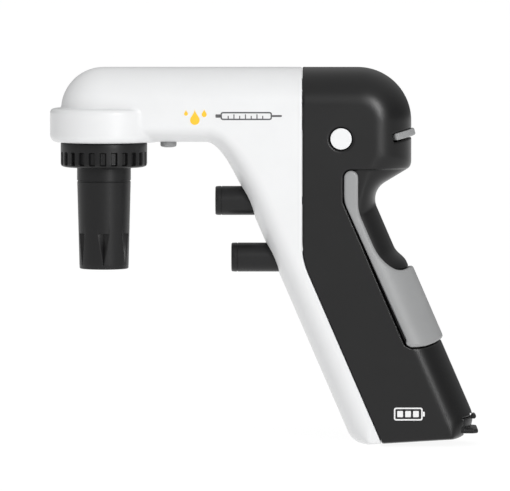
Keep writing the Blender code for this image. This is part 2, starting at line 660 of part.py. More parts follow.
class Housing:
    """The four shells, cut from one outer form, with the hollows that the other pieces need."""

    def __init__(self, shop):
        self.shop = shop
        self.pairs = housing_outline()
        self.outer = self.outer_form()
        self.cavity = self.cavity_form()

    def form(self, name, inset, half_width):
        return self.shop.helper(form(name, self.pairs, inset, half_width))

    def outer_form(self):
        outer = self.form("outer_form", 0, HALF_WIDTH)
        skirt = self.shop.helper(turned("skirt_form", skirt_profile(0), (0, 0, 0), (0, 0, 1), 36))
        return self.shop.helper(baked(boolean(outer, skirt, "UNION")))

    def boss_columns(self):
        places = {"cap": (CAP_PLACE, 4.6), **{name: (at, 4.2) for name, at in HIDDEN_SCREWS.items()}}
        for name, ((x, z), radius) in places.items():
            yield rod(f"boss_{name}", radius, (x, -HALF_WIDTH, z), (x, HALF_WIDTH, z), 18)

    def cavity_form(self):
        """The hollow inside the shells: thinner where the stand's pocket comes in."""
        shop = self.shop
        cavity = self.form("cavity_form", WALL, HALF_WIDTH - WALL)
        around = prism("pocket_wall", pocket_outline(STAND_CLEARANCE + WALL), -HALF_WIDTH, HALF_WIDTH)
        cavity = boolean(cavity, shop.helper(around), "DIFFERENCE")
        floor = STAND_THICK - STAND_BACK_PROUD + STAND_CLEARANCE
        deep = self.form("deep_form", floor + WALL, STAND_INSIDE - GAP - WALL)
        cavity = boolean(cavity, deep, "UNION")
        nose = turned("skirt_cavity", skirt_profile(WALL), (0, 0, 0), (0, 0, 1), 36)
        cavity = boolean(cavity, shop.helper(nose), "UNION")
        for column in self.boss_columns():
            cavity = boolean(cavity, shop.helper(column), "DIFFERENCE")
        corner = rear_corner()
        behind = sector(corner, BASE_BACK_RADIUS - FLAP_THICK - GAP - WALL, BASE_BACK_RADIUS + 4,
                        FLAP_FROM - 12, FLAP_TO + 14)
        wall = prism("flap_wall", behind, -HALF_WIDTH, HALF_WIDTH)
        cavity = boolean(cavity, shop.helper(wall), "DIFFERENCE")
        return shop.helper(baked(cavity))

    def zone(self, name, offset, far_x, side):
        """The block of space that one shell fills: one side of the seam and of the middle."""
        outline = seam_line(offset) + [(far_x, -60), (far_x, HEAD_TOP + 20)]
        low, high = sorted((side * GAP / 2, side * (SKIRT_RADIUS + 3)))
        return prism(name, outline, low, high)

    def foot_cutter(self):
        """Everything below the flat foot that the housing stands on."""
        rise = math.tan(math.radians(BASE_SLOPE))
        ends = [(x, (x - BASE_LOW_X) * rise) for x in (BASE_LOW_X - 60, BASE_LOW_X + 80)]
        outline = [*ends, (ends[1][0], -40), (ends[0][0], -40)]
        return self.shop.helper(prism("foot_plane", outline, -SKIRT_RADIUS, SKIRT_RADIUS))

    def shell(self, name, offset, far_x, side, cutters, material):
        shell = self.zone(name, offset, far_x, side)
        boolean(shell, self.outer, "INTERSECT")
        boolean(shell, self.cavity, "DIFFERENCE")
        for cutter in cutters:
            boolean(shell, cutter, "DIFFERENCE")
        return self.shop.place(tidied(shell), material, None)

    def front_cutters(self):
        shop = self.shop
        clear = TRIGGER_RADIUS + TRIGGER_CLEARANCE
        cutters = [rod("socket_bore", SOCKET_RADIUS + GAP, (0, 0, HEAD_UNDER - 5), (0, 0, HEAD_UNDER + 6), 32)]
        cutters.append(rod("mode_bore", MODE_RADIUS + GAP, (MODE_X, 0, HEAD_UNDER - 5), (MODE_X, 0, HEAD_UNDER + 6)))
        for name, (x, z) in (("upper", UPPER_TRIGGER), ("lower", LOWER_TRIGGER)):
            cutters.append(rod(f"{name}_trigger_bore", clear, (x, 0, z), (x + 32, 0, z), 28))
        return [shop.helper(cutter) for cutter in cutters]

    def pocket_cutters(self):
        """What the bench stand needs: a hollow at each side and a deeper one under its plate."""
        wide = HALF_WIDTH + 8
        floor = self.form("pocket_floor", 0, STAND_INSIDE - GAP)
        sides = prism("pocket_sides", pocket_outline(STAND_CLEARANCE), -wide, wide)
        sides = self.shop.helper(baked(boolean(sides, floor, "DIFFERENCE")))
        inset = STAND_THICK - STAND_BACK_PROUD + STAND_CLEARANCE
        deep = self.form("plate_floor", inset, STAND_INSIDE - GAP)
        plate = prism("pocket_plate", plate_outline(STAND_CLEARANCE + 0.12), -wide, wide)
        plate = self.shop.helper(baked(boolean(plate, deep, "DIFFERENCE")))
        x, z = STAND_PIVOT
        hole = rod("stand_pin_hole", PIN_RADIUS + GAP, (x, -HALF_WIDTH - 1, z), (x, HALF_WIDTH + 1, z), 16)
        return [sides, plate, self.shop.helper(hole)]

    def screw_cutters(self, side):
        """Seats for the cap, the screws' heads and their shanks in one side's shell."""
        shop = self.shop
        x, z = CAP_PLACE
        seat = HALF_WIDTH - CAP_THICK - GAP
        depth = HALF_WIDTH + 1 - seat
        profile = [(0, depth), (CAP_RADIUS + 1.6, depth), (CAP_RADIUS + GAP, depth - 1.8), (CAP_RADIUS + GAP, 0), (0, 0)]
        cutters = [turned(f"cap_seat_{side}", profile, (x, side * seat, z), (0, side, 0), 24)]
        for name, (place, face) in screw_places().items():
            x, z = place
            head = face - SCREW_HEAD - 2 * GAP
            cutters.append(rod(f"{name}_head_seat_{side}", SCREW_HEAD_RADIUS + GAP, (x, -head, z), (x, -face - 3, z), 16))
            cutters.append(rod(f"{name}_bore_{side}", SCREW_RADIUS + 0.25, (x, 1 - face, z), (x, face - 2.2, z), 16))
        keep = cutters if side < 0 else [cutter for cutter in cutters if "head_seat" not in cutter.name]
        for cutter in cutters:
            if cutter not in keep:
                bpy.data.objects.remove(cutter, do_unlink=True)
        return [shop.helper(cutter) for cutter in keep]

    def lever_cutter(self):
        outline = fan(10.5, LEVER_RADIUS + 8, LEVER_FROM - 4, LEVER_TO + LEVER_TRAVEL + 4)
        half = LEVER_THICK / 2
        slot = flat_plate("lever_slot", outline, -half - 1.6, half + GAP)
        return self.shop.helper(lever_frame(slot))

    def flap_cutters(self):
        shop = self.shop
        corner = rear_corner()
        inner = self.form("flap_floor", FLAP_THICK + GAP, HALF_WIDTH - FLAP_THICK - GAP)
        outline = sector(corner, 3, BASE_BACK_RADIUS + 8, FLAP_FROM - 2, FLAP_TO + 3)
        wide = FLAP_HALF_WIDTH + GAP
        recess = prism("flap_recess", outline, -wide, wide)
        recess = baked(boolean(recess, inner, "DIFFERENCE"))
        x, z = flap_hinge()
        barrel = rod("flap_barrel_room", FLAP_BARREL + GAP, (x, -FLAP_BARREL_HALF - GAP, z), (x, FLAP_BARREL_HALF + GAP, z), 20)
        low = (corner[0] + 2.5, -PORT_HALF_WIDTH - GAP, corner[1] - PORT_HALF_HEIGHT - GAP)
        high = (corner[0] + 14, PORT_HALF_WIDTH + GAP, corner[1] + PORT_HALF_HEIGHT + GAP)
        mouth = tilt_about(box("port_mouth", low, high), (corner[0], 0, corner[1]), -PORT_ANGLE)
        return [shop.helper(cutter) for cutter in (recess, barrel, mouth)]

    def build(self):
        foot = self.foot_cutter()
        front = self.front_cutters() + [foot]
        shared = self.pocket_cutters() + [self.lever_cutter()] + self.flap_cutters() + [foot]
        for side, name in ((-1, "left"), (1, "right")):
            self.shell(f"front_shell_{name}", -GAP / 2, -60, side, front, "white_plastic")
            rear = shared + self.screw_cutters(side)
            self.shell(f"rear_shell_{name}", GAP / 2, HEAD_BACK + 90, side, rear, "black_plastic")


SCREW_HEAD = 1.8
SCREW_HEAD_RADIUS = 2.6
FLAP_BARREL = 1.0
FLAP_BARREL_HALF = 4.5
PORT_HALF_HEIGHT = 4.2


def screw_places():
    """Each screw's place and the height of the face that its head is sunk in."""
    places = {"upper": (CAP_PLACE, HALF_WIDTH - CAP_THICK - GAP)}
    for name, place in HIDDEN_SCREWS.items():
        places[name] = (place, STAND_INSIDE - GAP - HIDDEN_SCREW_SINK)
    return places


def flap_hinge():
    return polar(rear_corner(), BASE_BACK_RADIUS + 0.45, FLAP_TO)


def build_screws(shop):
    for name, ((x, z), face) in screw_places().items():
        length = 2 * face - 4
        top = length - SCREW_HEAD
        profile = [(0, length), (SCREW_HEAD_RADIUS - 0.4, length), (SCREW_HEAD_RADIUS, length - 0.4)]
        profile += [(SCREW_HEAD_RADIUS, top), (SCREW_RADIUS, top), (SCREW_RADIUS, 0), (0, 0)]
        screw = turned(f"case_screw_{name}", profile, (x, length - face + GAP, z), (0, -1, 0), 16)
        shop.place(screw, "steel", None)
    x, z = CAP_PLACE
    for side, name in ((-1, "left"), (1, "right")):
        profile = [(0, CAP_THICK), (CAP_RADIUS - 0.25, CAP_THICK), (CAP_RADIUS, CAP_THICK - 0.25), (CAP_RADIUS, 0), (0, 0)]
        cap = turned(f"screw_cap_{name}", profile, (x, side * (HALF_WIDTH - CAP_THICK - 0.05), z), (0, side, 0), 24)
        shop.place(cap, "white_plastic", None)


# ================================================================ bench stand
def build_stand(shop, housing):
    wide = HALF_WIDTH + STAND_PROUD
    outer = housing.form("stand_outer", -STAND_BACK_PROUD, wide)
    plate_inside = housing.form("stand_plate_inside", STAND_THICK - STAND_BACK_PROUD, STAND_INSIDE)
    arms_inside = housing.form("stand_arms_inside", -0.25, STAND_INSIDE)
    line = plate_top_line(STAND_CLEARANCE)
    front = STAND_PIVOT[0] - 20
    above = [(front, line[0][1]), *line, (HEAD_BACK + 40, line[-1][1]), (HEAD_BACK + 40, HEAD_TOP), (front, HEAD_TOP)]
    arms_inside = shop.helper(baked(boolean(prism("stand_gap", above, -40, 40), arms_inside, "INTERSECT")))
    stand = prism("bench_stand", stand_outline(), -wide - 1, wide + 1)
    boolean(stand, outer, "INTERSECT")
    boolean(stand, plate_inside, "DIFFERENCE")
    boolean(stand, arms_inside, "DIFFERENCE")
    x, z = STAND_PIVOT
    reach = STAND_INSIDE + 1.7
    boolean(stand, shop.helper(rod("stand_holes", PIN_RADIUS + 0.05, (x, -reach, z), (x, reach, z), 16)), "DIFFERENCE")
    hinge = shop.empty("stand_hinge", (x, 0, z), shop.root)
    shop.place(tidied(stand), "grey_plastic", hinge)
    for side, name in ((-1, "left"), (1, "right")):
        inner = STAND_INSIDE - GAP - WALL - 1.0
        pin = rod(f"stand_pin_{name}", PIN_RADIUS, (x, side * inner, z), (x, side * (reach - 0.1), z), 16, 0.2)
        shop.place(pin, "steel", None)


# ================================================================ nose
def collar_ring(height, valley, peak):
    """One ring of the collar nut's outside, with a rib every few degrees."""
    points = []
    for rib in range(COLLAR_RIBS):
        middle = 360 / COLLAR_RIBS * rib
        half = 180 / COLLAR_RIBS
        for turn, radius in ((-0.75, valley), (-0.45, peak), (0.45, peak), (0.75, valley)):
            points.append((*polar((0, 0), radius, middle + turn * half), height))
    return points


def build_collar(shop, parent):
    full = COLLAR_RADIUS
    low = COLLAR_BOTTOM
    band = COLLAR_TOP - COLLAR_BAND
    rings = [collar_ring(COLLAR_TOP, full - 0.4, full - 0.4), collar_ring(COLLAR_TOP - 0.4, full, full)]
    rings += [collar_ring(band, full, full), collar_ring(band - 0.5, full - RIB_DEPTH, full)]
    rings += [collar_ring(low + 1.2, full - RIB_DEPTH, full), collar_ring(low, full - 1.9, full - 1.7)]
    collar = loft("collar_nut", rings)
    flange = CONE_TOP_RADIUS + 1.6 + GAP
    lip = low + 2.6
    thread = SOCKET_RADIUS + GAP
    top = COLLAR_TOP + 2
    bore = [(0, top), (thread, top), (thread, lip + 2.5), (flange, lip + 2.0), (flange, lip)]
    bore += [(CONE_TOP_RADIUS + GAP, lip), (CONE_TOP_RADIUS + GAP, low - 2), (0, low - 2)]
    boolean(collar, shop.helper(turned("collar_bore", bore, (0, 0, 0), (0, 0, 1), 36)), "DIFFERENCE")
    shop.place(tidied(collar), "dark_plastic", parent)


def flute_section(width, depth, height):
    """Triangular section of a flute: this wide and this deep where it meets the cone's surface."""
    share = (height - CONE_BOTTOM) / (COLLAR_BOTTOM - CONE_BOTTOM)
    surface = CONE_BOTTOM_RADIUS + (CONE_TOP_RADIUS - CONE_BOTTOM_RADIUS) * share
    clear = 1.0
    half = width / 2 * (depth + clear) / depth
    return [(-half, -surface - clear, height), (half, -surface - clear, height), (0, -surface + depth, height)]


def build_cone(shop, parent):
    lip = COLLAR_BOTTOM + 2.6
    flange = CONE_TOP_RADIUS + 1.6
    top = lip + GAP + 1.4
    profile = [(flange, top), (flange, lip + GAP), (CONE_TOP_RADIUS, lip + GAP), (CONE_TOP_RADIUS, COLLAR_BOTTOM)]
    profile += [(CONE_TOP_RADIUS - 0.15, COLLAR_BOTTOM - 5.6), (CONE_TOP_RADIUS - 0.45, COLLAR_BOTTOM - 5.9)]
    profile += [(CONE_TOP_RADIUS - 0.25, COLLAR_BOTTOM - 6.4), (CONE_BOTTOM_RADIUS, CONE_BOTTOM + 1.7)]
    profile += [(CONE_BOTTOM_RADIUS - 0.5, CONE_BOTTOM + 0.5), (CONE_BOTTOM_RADIUS - 1.5, CONE_BOTTOM)]
    profile += [(ADAPTER_MOUTH + 1.2, CONE_BOTTOM), (ADAPTER_MOUTH + 1.2, CONE_BOTTOM + 2.0)]
    profile += [(CONE_BOTTOM_RADIUS - CONE_WALL, CONE_BOTTOM + 2.0), (CONE_TOP_RADIUS - CONE_WALL, COLLAR_BOTTOM - 6.4)]
    profile += [(CONE_TOP_RADIUS - CONE_WALL, top), (flange, top)]
    cone = turned("nose_cone", profile, (0, 0, 0), (0, 0, 1), 36)
    for i in range(CONE_FLUTES):
        turn = Matrix.Rotation(math.radians(360 / CONE_FLUTES * i), 3, "Z")
        top_ring = flute_section(FLUTE_WIDTH, FLUTE_DEPTH, FLUTE_TOP)
        low_ring = flute_section(0.3, 0.05, FLUTE_BOTTOM)
        rings = [[tuple(turn @ Vector(point)) for point in ring] for ring in (top_ring, low_ring)]
        boolean(cone, shop.helper(loft(f"flute_{i}", rings)), "DIFFERENCE")
    shop.place(tidied(cone), "dark_plastic", parent)
    return top


def build_nose(shop):
    carrier = shop.empty("nose_slide", (0, 0, COLLAR_BOTTOM), shop.root)
    turn = shop.empty("collar_turn", (0, 0, COLLAR_BOTTOM), carrier)
    build_collar(shop, turn)
    cone_top = build_cone(shop, carrier)
    gasket = tube("nose_gasket", SOCKET_RADIUS - 0.5, CONE_TOP_RADIUS - CONE_WALL + 0.2,
                  (0, 0, cone_top + GAP), (0, 0, SOCKET_BOTTOM - GAP), 28)
    shop.place(gasket, "rubber", None)
    bore = CONE_TOP_RADIUS - CONE_WALL
    flange = SKIRT_RADIUS - WALL - 2.4
    floor = HEAD_UNDER + WALL + GAP
    profile = [(NIPPLE_RADIUS, floor + 7.5), (NIPPLE_RADIUS, floor + 4), (flange - 6, floor + 3.2), (flange, floor + 2.6), (flange, floor)]
    profile += [(SOCKET_RADIUS, floor), (SOCKET_RADIUS, SOCKET_BOTTOM), (bore, SOCKET_BOTTOM), (bore, floor - 0.4)]
    profile += [(3.0, floor + 1.4), (0.55, floor + 1.8), (0.55, floor + 7.5), (NIPPLE_RADIUS, floor + 7.5)]
    shop.place(turned("nose_socket", profile, (0, 0, 0), (0, 0, 1), 28), "grey_plastic", None)
    low = CONE_BOTTOM + 2.0 + GAP
    top = low + 29.5
    outer = (CONE_BOTTOM_RADIUS - CONE_WALL - GAP, CONE_TOP_RADIUS - CONE_WALL - 0.2 - GAP)
    profile = [(outer[1], top), (outer[0], low), (ADAPTER_MOUTH, low), (ADAPTER_MOUTH - 1.9, low + 14)]
    profile += [(ADAPTER_MOUTH - 2.8, low + 27), (1.8, low + 27), (1.8, top), (outer[1], top)]
    shop.place(turned("pipette_adapter", profile, (0, 0, 0), (0, 0, 1), 24), "clear_rubber", carrier)
    base = top + 4.0
    wide = bore - GAP
    profile = [(1.3, base + 8.3), (1.3, base + 4.8), (wide, base + 4.4), (wide, base + 0.4), (1.3, base), (1.3, top - 2.0)]
    profile += [(0.6, top - 2.0), (0.6, base + 8.3), (1.3, base + 8.3)]
    shop.place(turned("membrane_filter", profile, (0, 0, 0), (0, 0, 1), 24), "white_plastic", carrier)


# ================================================================ triggers and buttons
def flange_x(height):
    """Where a trigger's flange stands: clear behind the handle's sloping wall."""
    return tilted(HANDLE_FRONT + WALL, height - TRIGGER_RADIUS - 0.9)[0] + 3.6


def coil(name, shop, start, end, height, turns, parent):
    """A trigger's return spring, a helix about the trigger's axis."""
    steps = 8 * turns
    path = []
    for i in range(steps + 1):
        turn = 2 * math.pi * i / 8
        path.append((start + (end - start) * i / steps, 3.1 * math.cos(turn), height + 3.1 * math.sin(turn)))
    shop.place(baked(wire(name, path, 0.35)), "steel", parent)


def build_trigger(shop, name, label, place, turns):
    face, height = place
    slide = shop.empty(f"{name}_slide", (face, 0, height), shop.root)
    flange = flange_x(height)
    back = flange + 1.6
    stem_end = BLOCK_X[0] + 4.0
    profile = [(0, stem_end - face), (1.7, stem_end - face), (1.7, back - face), (TRIGGER_RADIUS + 0.9, back - face)]
    profile += [(TRIGGER_RADIUS + 0.9, flange - face), (TRIGGER_RADIUS, flange - face), (TRIGGER_RADIUS, 1.2)]
    profile += [(TRIGGER_RADIUS - 0.35, 0.35), (TRIGGER_RADIUS - 1.2, 0), (0, 0)]
    shop.place(turned(name, profile, (face, 0, height), (1, 0, 0), 28), "dark_plastic", slide)
    room = BLOCK_X[0] - TRIGGER_STROKE - back
    length = room - 2 * GAP if room > 6 else 5.2
    coil(f"{label}_spring", shop, back + 0.35 + GAP, back + length, height, turns, slide)
    ring = tube(f"{label}_stop_ring", TRIGGER_RADIUS + 2.4, TRIGGER_RADIUS + TRIGGER_CLEARANCE,
                (flange - GAP - 1.7, 0, height), (flange - GAP, 0, height), 24)
    shop.place(ring, "dark_plastic", None)


def build_mode_button(shop):
    slide = shop.empty("mode_slide", (MODE_X, 0, HEAD_UNDER), shop.root)
    low = HEAD_UNDER - MODE_STICKS_OUT
    inside = HEAD_UNDER + WALL + GAP
    radius = MODE_RADIUS
    profile = [(0, inside + 1.1), (radius + 0.9, inside + 1.1), (radius + 0.9, inside), (radius, inside), (radius, low + 0.9)]
    profile += [(radius - 0.3, low + 0.45), (radius - 1.2, low + 0.12), (radius - 2.3, low), (0, low)]
    shop.place(turned("mode_button", profile, (MODE_X, 0, 0), (0, 0, 1), 20), "mid_grey_plastic", slide)
    base = inside + 1.1 + MODE_STROKE + GAP
    switch = box("mode_switch", (MODE_X - 3.5, -3.4, base), (MODE_X + 3.5, 3.4, base + 5.5), 0.4)
    shop.place(switch, "dark_plastic", None)


MODE_STROKE = 1.2


def build_lever(shop):
    """The speed lever's tongue and hub, and the potentiometer that it turns."""
    half = LEVER_THICK / 2
    tongue = fan(0.4, LEVER_RADIUS, LEVER_FROM, LEVER_TO)
    lever = lever_frame(flat_plate("speed_lever", tongue, -half, half))
    hub = lever_frame(rod("lever_hub", 4.4, (0, 0, -half), (0, 0, half + 0.6), 20))
    boolean(lever, shop.helper(hub), "UNION")
    rim = flat_plate("lever_rim", fan(LEVER_RADIUS - 1.5, LEVER_RADIUS + 0.2, LEVER_FROM + 0.4, LEVER_TO - 0.4), -half, half + 0.25)
    boolean(lever, shop.helper(lever_frame(rim)), "UNION")
    hole = lever_frame(rod("lever_hole", 1.55, (0, 0, -half - 1), (0, 0, half + 2), 14))
    boolean(lever, shop.helper(hole), "DIFFERENCE")
    x, z = LEVER_PIVOT
    axis = shop.empty("lever_hinge", (x, 0, z), shop.root)
    shop.place(tidied(lever), "grey_plastic", axis)
    profile = [(0, half), (1.5, half), (1.5, -half - GAP), (4.8, -half - GAP), (4.8, -half - 5.3), (0, -half - 5.3)]
    pot = lever_frame(turned("speed_potentiometer", profile, (0, 0, 0), (0, 0, 1), 20))
    shop.place(pot, "steel", None)


# ================================================================ works inside
def build_valves(shop):
    low = (BLOCK_X[0], -BLOCK_HALF_WIDTH, BLOCK_Z[0])
    high = (BLOCK_X[1], BLOCK_HALF_WIDTH, BLOCK_Z[1])
    block = box("valve_block", low, high, 0.5)
    for name, (_, height) in (("upper", UPPER_TRIGGER), ("lower", LOWER_TRIGGER)):
        bore = rod(f"{name}_valve_bore", 2.0, (BLOCK_X[0] - 3, 0, height), (BLOCK_X[1] - 0.8, 0, height), 16)
        boolean(block, shop.helper(bore), "DIFFERENCE")
    room = rod("lower_spring_room", 4.1, (BLOCK_X[0] - 3, 0, LOWER_TRIGGER[1]), (BLOCK_X[0] + 6, 0, LOWER_TRIGGER[1]), 20)
    boolean(block, shop.helper(room), "DIFFERENCE")
    top = BLOCK_Z[1]
    for name, y in (("suction", PORT_SPACING), ("nose", 0), ("pressure", -PORT_SPACING)):
        nipple = rod(f"{name}_nipple", NIPPLE_RADIUS, (PORT_X, y, top - 1), (PORT_X, y, top + NIPPLE_LENGTH), 12)
        boolean(block, shop.helper(nipple), "UNION")
    shop.place(block, "grey_plastic", None)


def build_pump(shop):
    x, z = PUMP_PLACE
    pump = rod("pump_head", PUMP_RADIUS, (x, 0, z), (x + PUMP_LENGTH, 0, z), 24, 0.6)
    for side in (-1, 1):
        place = (x - NIPPLE_LENGTH, side * 4.2, z + 3.2)
        nipple = rod(f"pump_nipple_{side}", NIPPLE_RADIUS, place, (x + 1, side * 4.2, z + 3.2), 12)
        boolean(pump, shop.helper(nipple), "UNION")
    shop.place(pump, "dark_plastic", None)
    back = x + PUMP_LENGTH + GAP
    motor = rod("pump_motor", MOTOR_RADIUS, (back, 0, z), (back + MOTOR_LENGTH, 0, z), 24, 0.8)
    shop.place(motor, "steel", None)
    return back + MOTOR_LENGTH


def build_hoses(shop, motor_end):
    x, z = PUMP_PLACE
    top = BLOCK_Z[1] + 0.4
    side_y = HALF_WIDTH - WALL - HOSE_OUTER - 0.25
    for side, name in ((1, "suction_hose"), (-1, "pressure_hose")):
        points = [(x - 0.5, side * 4.2, z + 3.2), (x - 4.2, side * 4.5, z + 3.2), (x - 6.8, side * 8.6, z + 2.6)]
        points += [(x - 3.6, side * side_y, z + 1), (x + 5, side * side_y, z), (motor_end - 3, side * side_y, z)]
        points += [(motor_end + 3.5, side * 10.6, z - 5.5), (PORT_X - 3, side * (PORT_SPACING + 1.6), top + 11)]
        points += [(PORT_X, side * PORT_SPACING, top + 4), (PORT_X, side * PORT_SPACING, top)]
        hose(shop, name, points, "clear_rubber")
    nose = HEAD_UNDER + WALL + GAP + 5.0
    roof = HEAD_TOP - WALL - HOSE_OUTER - 1.2
    drop = motor_end + HOSE_OUTER + 1.6
    points = [(0, 0, nose), (0, 0, nose + 3), (0, 0, nose + 7), (3, 0, roof - 5), (12, 0, roof - 0.6), (x - 4, 0, roof), (motor_end - 13, 0, roof)]
    points += [(drop - 3.4, 0, roof - 1.6), (drop, 0, z + 4), (drop + 0.3, 0, z - 8), (PORT_X - 2.4, 0, top + 10)]
    points += [(PORT_X, 0, top + 5), (PORT_X, 0, top + 2.5), (PORT_X, 0, top)]
    hose(shop, "nose_hose", points, "clear_rubber")


def build_board(shop, motor_end):
    start = motor_end + 2 * HOSE_OUTER + 4.4
    end = HEAD_BACK - TOP_CORNER_RADIUS / 2 + 1.0
    z = LEVER_PIVOT[1] + 16.4
    wide = HALF_WIDTH - 6.5
    shop.place(box("circuit_board", (start, -wide, z), (end, wide, z + 1.6)), "board_green", None)
    middle = (start + end) / 2
    chip = box("board_chip", (middle - 4, -4, z + 1.6 + GAP / 3), (middle + 4, 4, z + 3.2), 0.2)
    shop.place(chip, "dark_plastic", None)
    plug = box("board_connector", (start + 1, -6, z + 1.6 + GAP / 3), (start + 5.5, 6, z + 5.4), 0.3)
    shop.place(plug, "white_plastic", None)
    switch_low = UPPER_TRIGGER[1] - TRIGGER_RADIUS - 0.9 - GAP
    x = flange_x(UPPER_TRIGGER[1]) + 3.5
    shop.place(box("upper_trigger_switch", (x, -4, switch_low - 5.2), (x + 9, 4, switch_low), 0.3), "dark_plastic", None)
    switch_low = LOWER_TRIGGER[1] - TRIGGER_RADIUS - 0.9 - GAP
    x = flange_x(LOWER_TRIGGER[1]) + 0.4
    shop.place(box("lower_trigger_switch", (x, -4, switch_low - 5.2), (x + 7.6, 4, switch_low), 0.3), "dark_plastic", None)
    return z


def build_cells(shop, board_z):
    """Two cells side by side in a tray that leans with the handle."""
    middle = (HANDLE_FRONT + WALL + HANDLE_BACK - STAND_THICK - WALL) / 2
    height = CELL_LENGTH / 2 + 10.5
    x, z = tilted(middle, height)
    half, radius = CELL_LENGTH / 2, CELL_RADIUS
    pivot = (x, 0, z)

    def lean(obj):
        return tilt_about(obj, pivot, -HANDLE_TILT)

    for name, shift_x in (("front", -radius - 0.2), ("rear", radius + 0.2)):
        profile = [(0, half), (2.4, half), (2.4, half - 1.0), (radius - 0.6, half - 1.0), (radius, half - 1.6)]
        profile += [(radius, -half + 0.5), (radius - 0.5, -half), (0, -half)]
        cell = turned(f"battery_cell_{name}", profile, (x + shift_x, 0, z), (0, 0, 1), 20)
        shop.place(lean(cell), "cell_wrap", None)
    wide = 2 * radius
    for name, level in (("top", half + GAP), ("bottom", -half - GAP - 0.6)):
        plate = box(f"contact_{name}", (x - wide, -5.5, z + level), (x + wide, 5.5, z + level + 0.6))
        shop.place(lean(plate), "steel", None)
    wall = half + 2 * GAP + 0.6
    tray = box("battery_tray", (x - wide - 0.3, radius + GAP, z - wall - 1.4), (x + wide + 0.3, radius + 1.5, z + wall + 1.4))
    for name, level in (("top", wall), ("bottom", -wall - 1.4)):
        end = box(f"tray_{name}", (x - wide - 0.3, -6.5, z + level), (x + wide + 0.3, radius + 1.0, z + level + 1.4))
        boolean(tray, shop.helper(end), "UNION")
    shop.place(lean(tray), "dark_plastic", None)
    for helper_name in ("tray_top", "tray_bottom"):
        lean(bpy.data.objects[helper_name])
    top = Vector((x, 0, z)) + Vector((-math.sin(math.radians(HANDLE_TILT)), 0, math.cos(math.radians(HANDLE_TILT)))) * (wall + 2.4)
    boss_edge = CAP_PLACE[0] + 4.6
    column = boss_edge + 1.5
    for side, name in ((-1, "red"), (1, "black")):
        y = side * 2.4
        points = [(top.x, y, top.z), (top.x - 3, y, top.z + 6), (BLOCK_X[1] + 1.9, y, BLOCK_Z[0] + 12)]
        points += [(BLOCK_X[1] + 1.9, y, BLOCK_Z[1] - 2), (column, y, CAP_PLACE[1] - 3), (column, y, CAP_PLACE[1] + 4)]
        points += [(column, y, board_z - 2.2), (column, y, board_z - GAP)]
        shop.place(baked(wire(f"battery_wire_{name}", smooth_path(points, 2), 0.65)), f"wire_{name}", None)


def build_charging(shop, housing):
    corner = rear_corner()
    radius = BASE_BACK_RADIUS
    wide = PORT_HALF_WIDTH
    high = PORT_HALF_HEIGHT
    limit = radius - FLAP_THICK - 2 * GAP - 0.3
    face = math.sqrt(limit ** 2 - high ** 2)
    low_corner = (corner[0] + 0.4, -wide, corner[1] - high)
    socket = box("charging_socket", low_corner, (corner[0] + face, wide, corner[1] + high), 0.3)
    x, z = corner
    ring = tube("jack_ring", 2.8, 0.7, (x + 1.2, 0, z), (x + face + 2, 0, z), 20)
    boolean(socket, shop.helper(ring), "DIFFERENCE")
    middle = (corner[0], 0, corner[1])
    tilt_about(ring, middle, -PORT_ANGLE)
    shop.place(tilt_about(socket, middle, -PORT_ANGLE), "dark_plastic", None)
    hinge = shop.empty("flap_hinge", (flap_hinge()[0], 0, flap_hinge()[1]), shop.root)
    flap = prism("port_flap", sector(corner, 3, radius + 2, FLAP_FROM, FLAP_TO), -FLAP_HALF_WIDTH, FLAP_HALF_WIDTH)
    boolean(flap, housing.outer, "INTERSECT")
    inside = housing.form("flap_inside", FLAP_THICK, HALF_WIDTH - FLAP_THICK)
    boolean(flap, inside, "DIFFERENCE")
    x, z = flap_hinge()
    barrel = rod("flap_barrel", FLAP_BARREL, (x, -FLAP_BARREL_HALF, z), (x, FLAP_BARREL_HALF, z), 20)
    boolean(flap, shop.helper(barrel), "UNION")
    lip_z = corner[1] - FLAP_LIP_DROP
    reach = math.sqrt(radius ** 2 - FLAP_LIP_DROP ** 2)
    inner = corner[0] + reach - FLAP_THICK * 0.6
    outer = corner[0] + reach + FLAP_LIP
    outline = [(inner, -9.5), (outer - 2.0, -9.5), (outer, -7.5), (outer, 7.5), (outer - 2.0, 9.5), (inner, 9.5)]
    lip = flat_plate("flap_lip", outline, lip_z - 1.0, lip_z + 1.0)
    boolean(flap, shop.helper(lip), "UNION")
    shop.place(tidied(flap), "dark_plastic", hinge)


# ================================================================ the whole object
def settle(shop):
    """Moves everything so that the origin is under the middle of the bounding box."""
    bpy.context.view_layer.update()
    graph = bpy.context.evaluated_depsgraph_get()
    low = Vector((math.inf,) * 3)
    high = Vector((-math.inf,) * 3)
    for obj in shop.parts.objects:
        if obj.type == "EMPTY":
            continue
        shape = obj.evaluated_get(graph)
        for vertex in shape.data.vertices:
            place = shape.matrix_world @ vertex.co
            low = Vector(map(min, low, place))
            high = Vector(map(max, high, place))
    return Vector((-(low.x + high.x) / 2, -(low.y + high.y) / 2, -low.z))


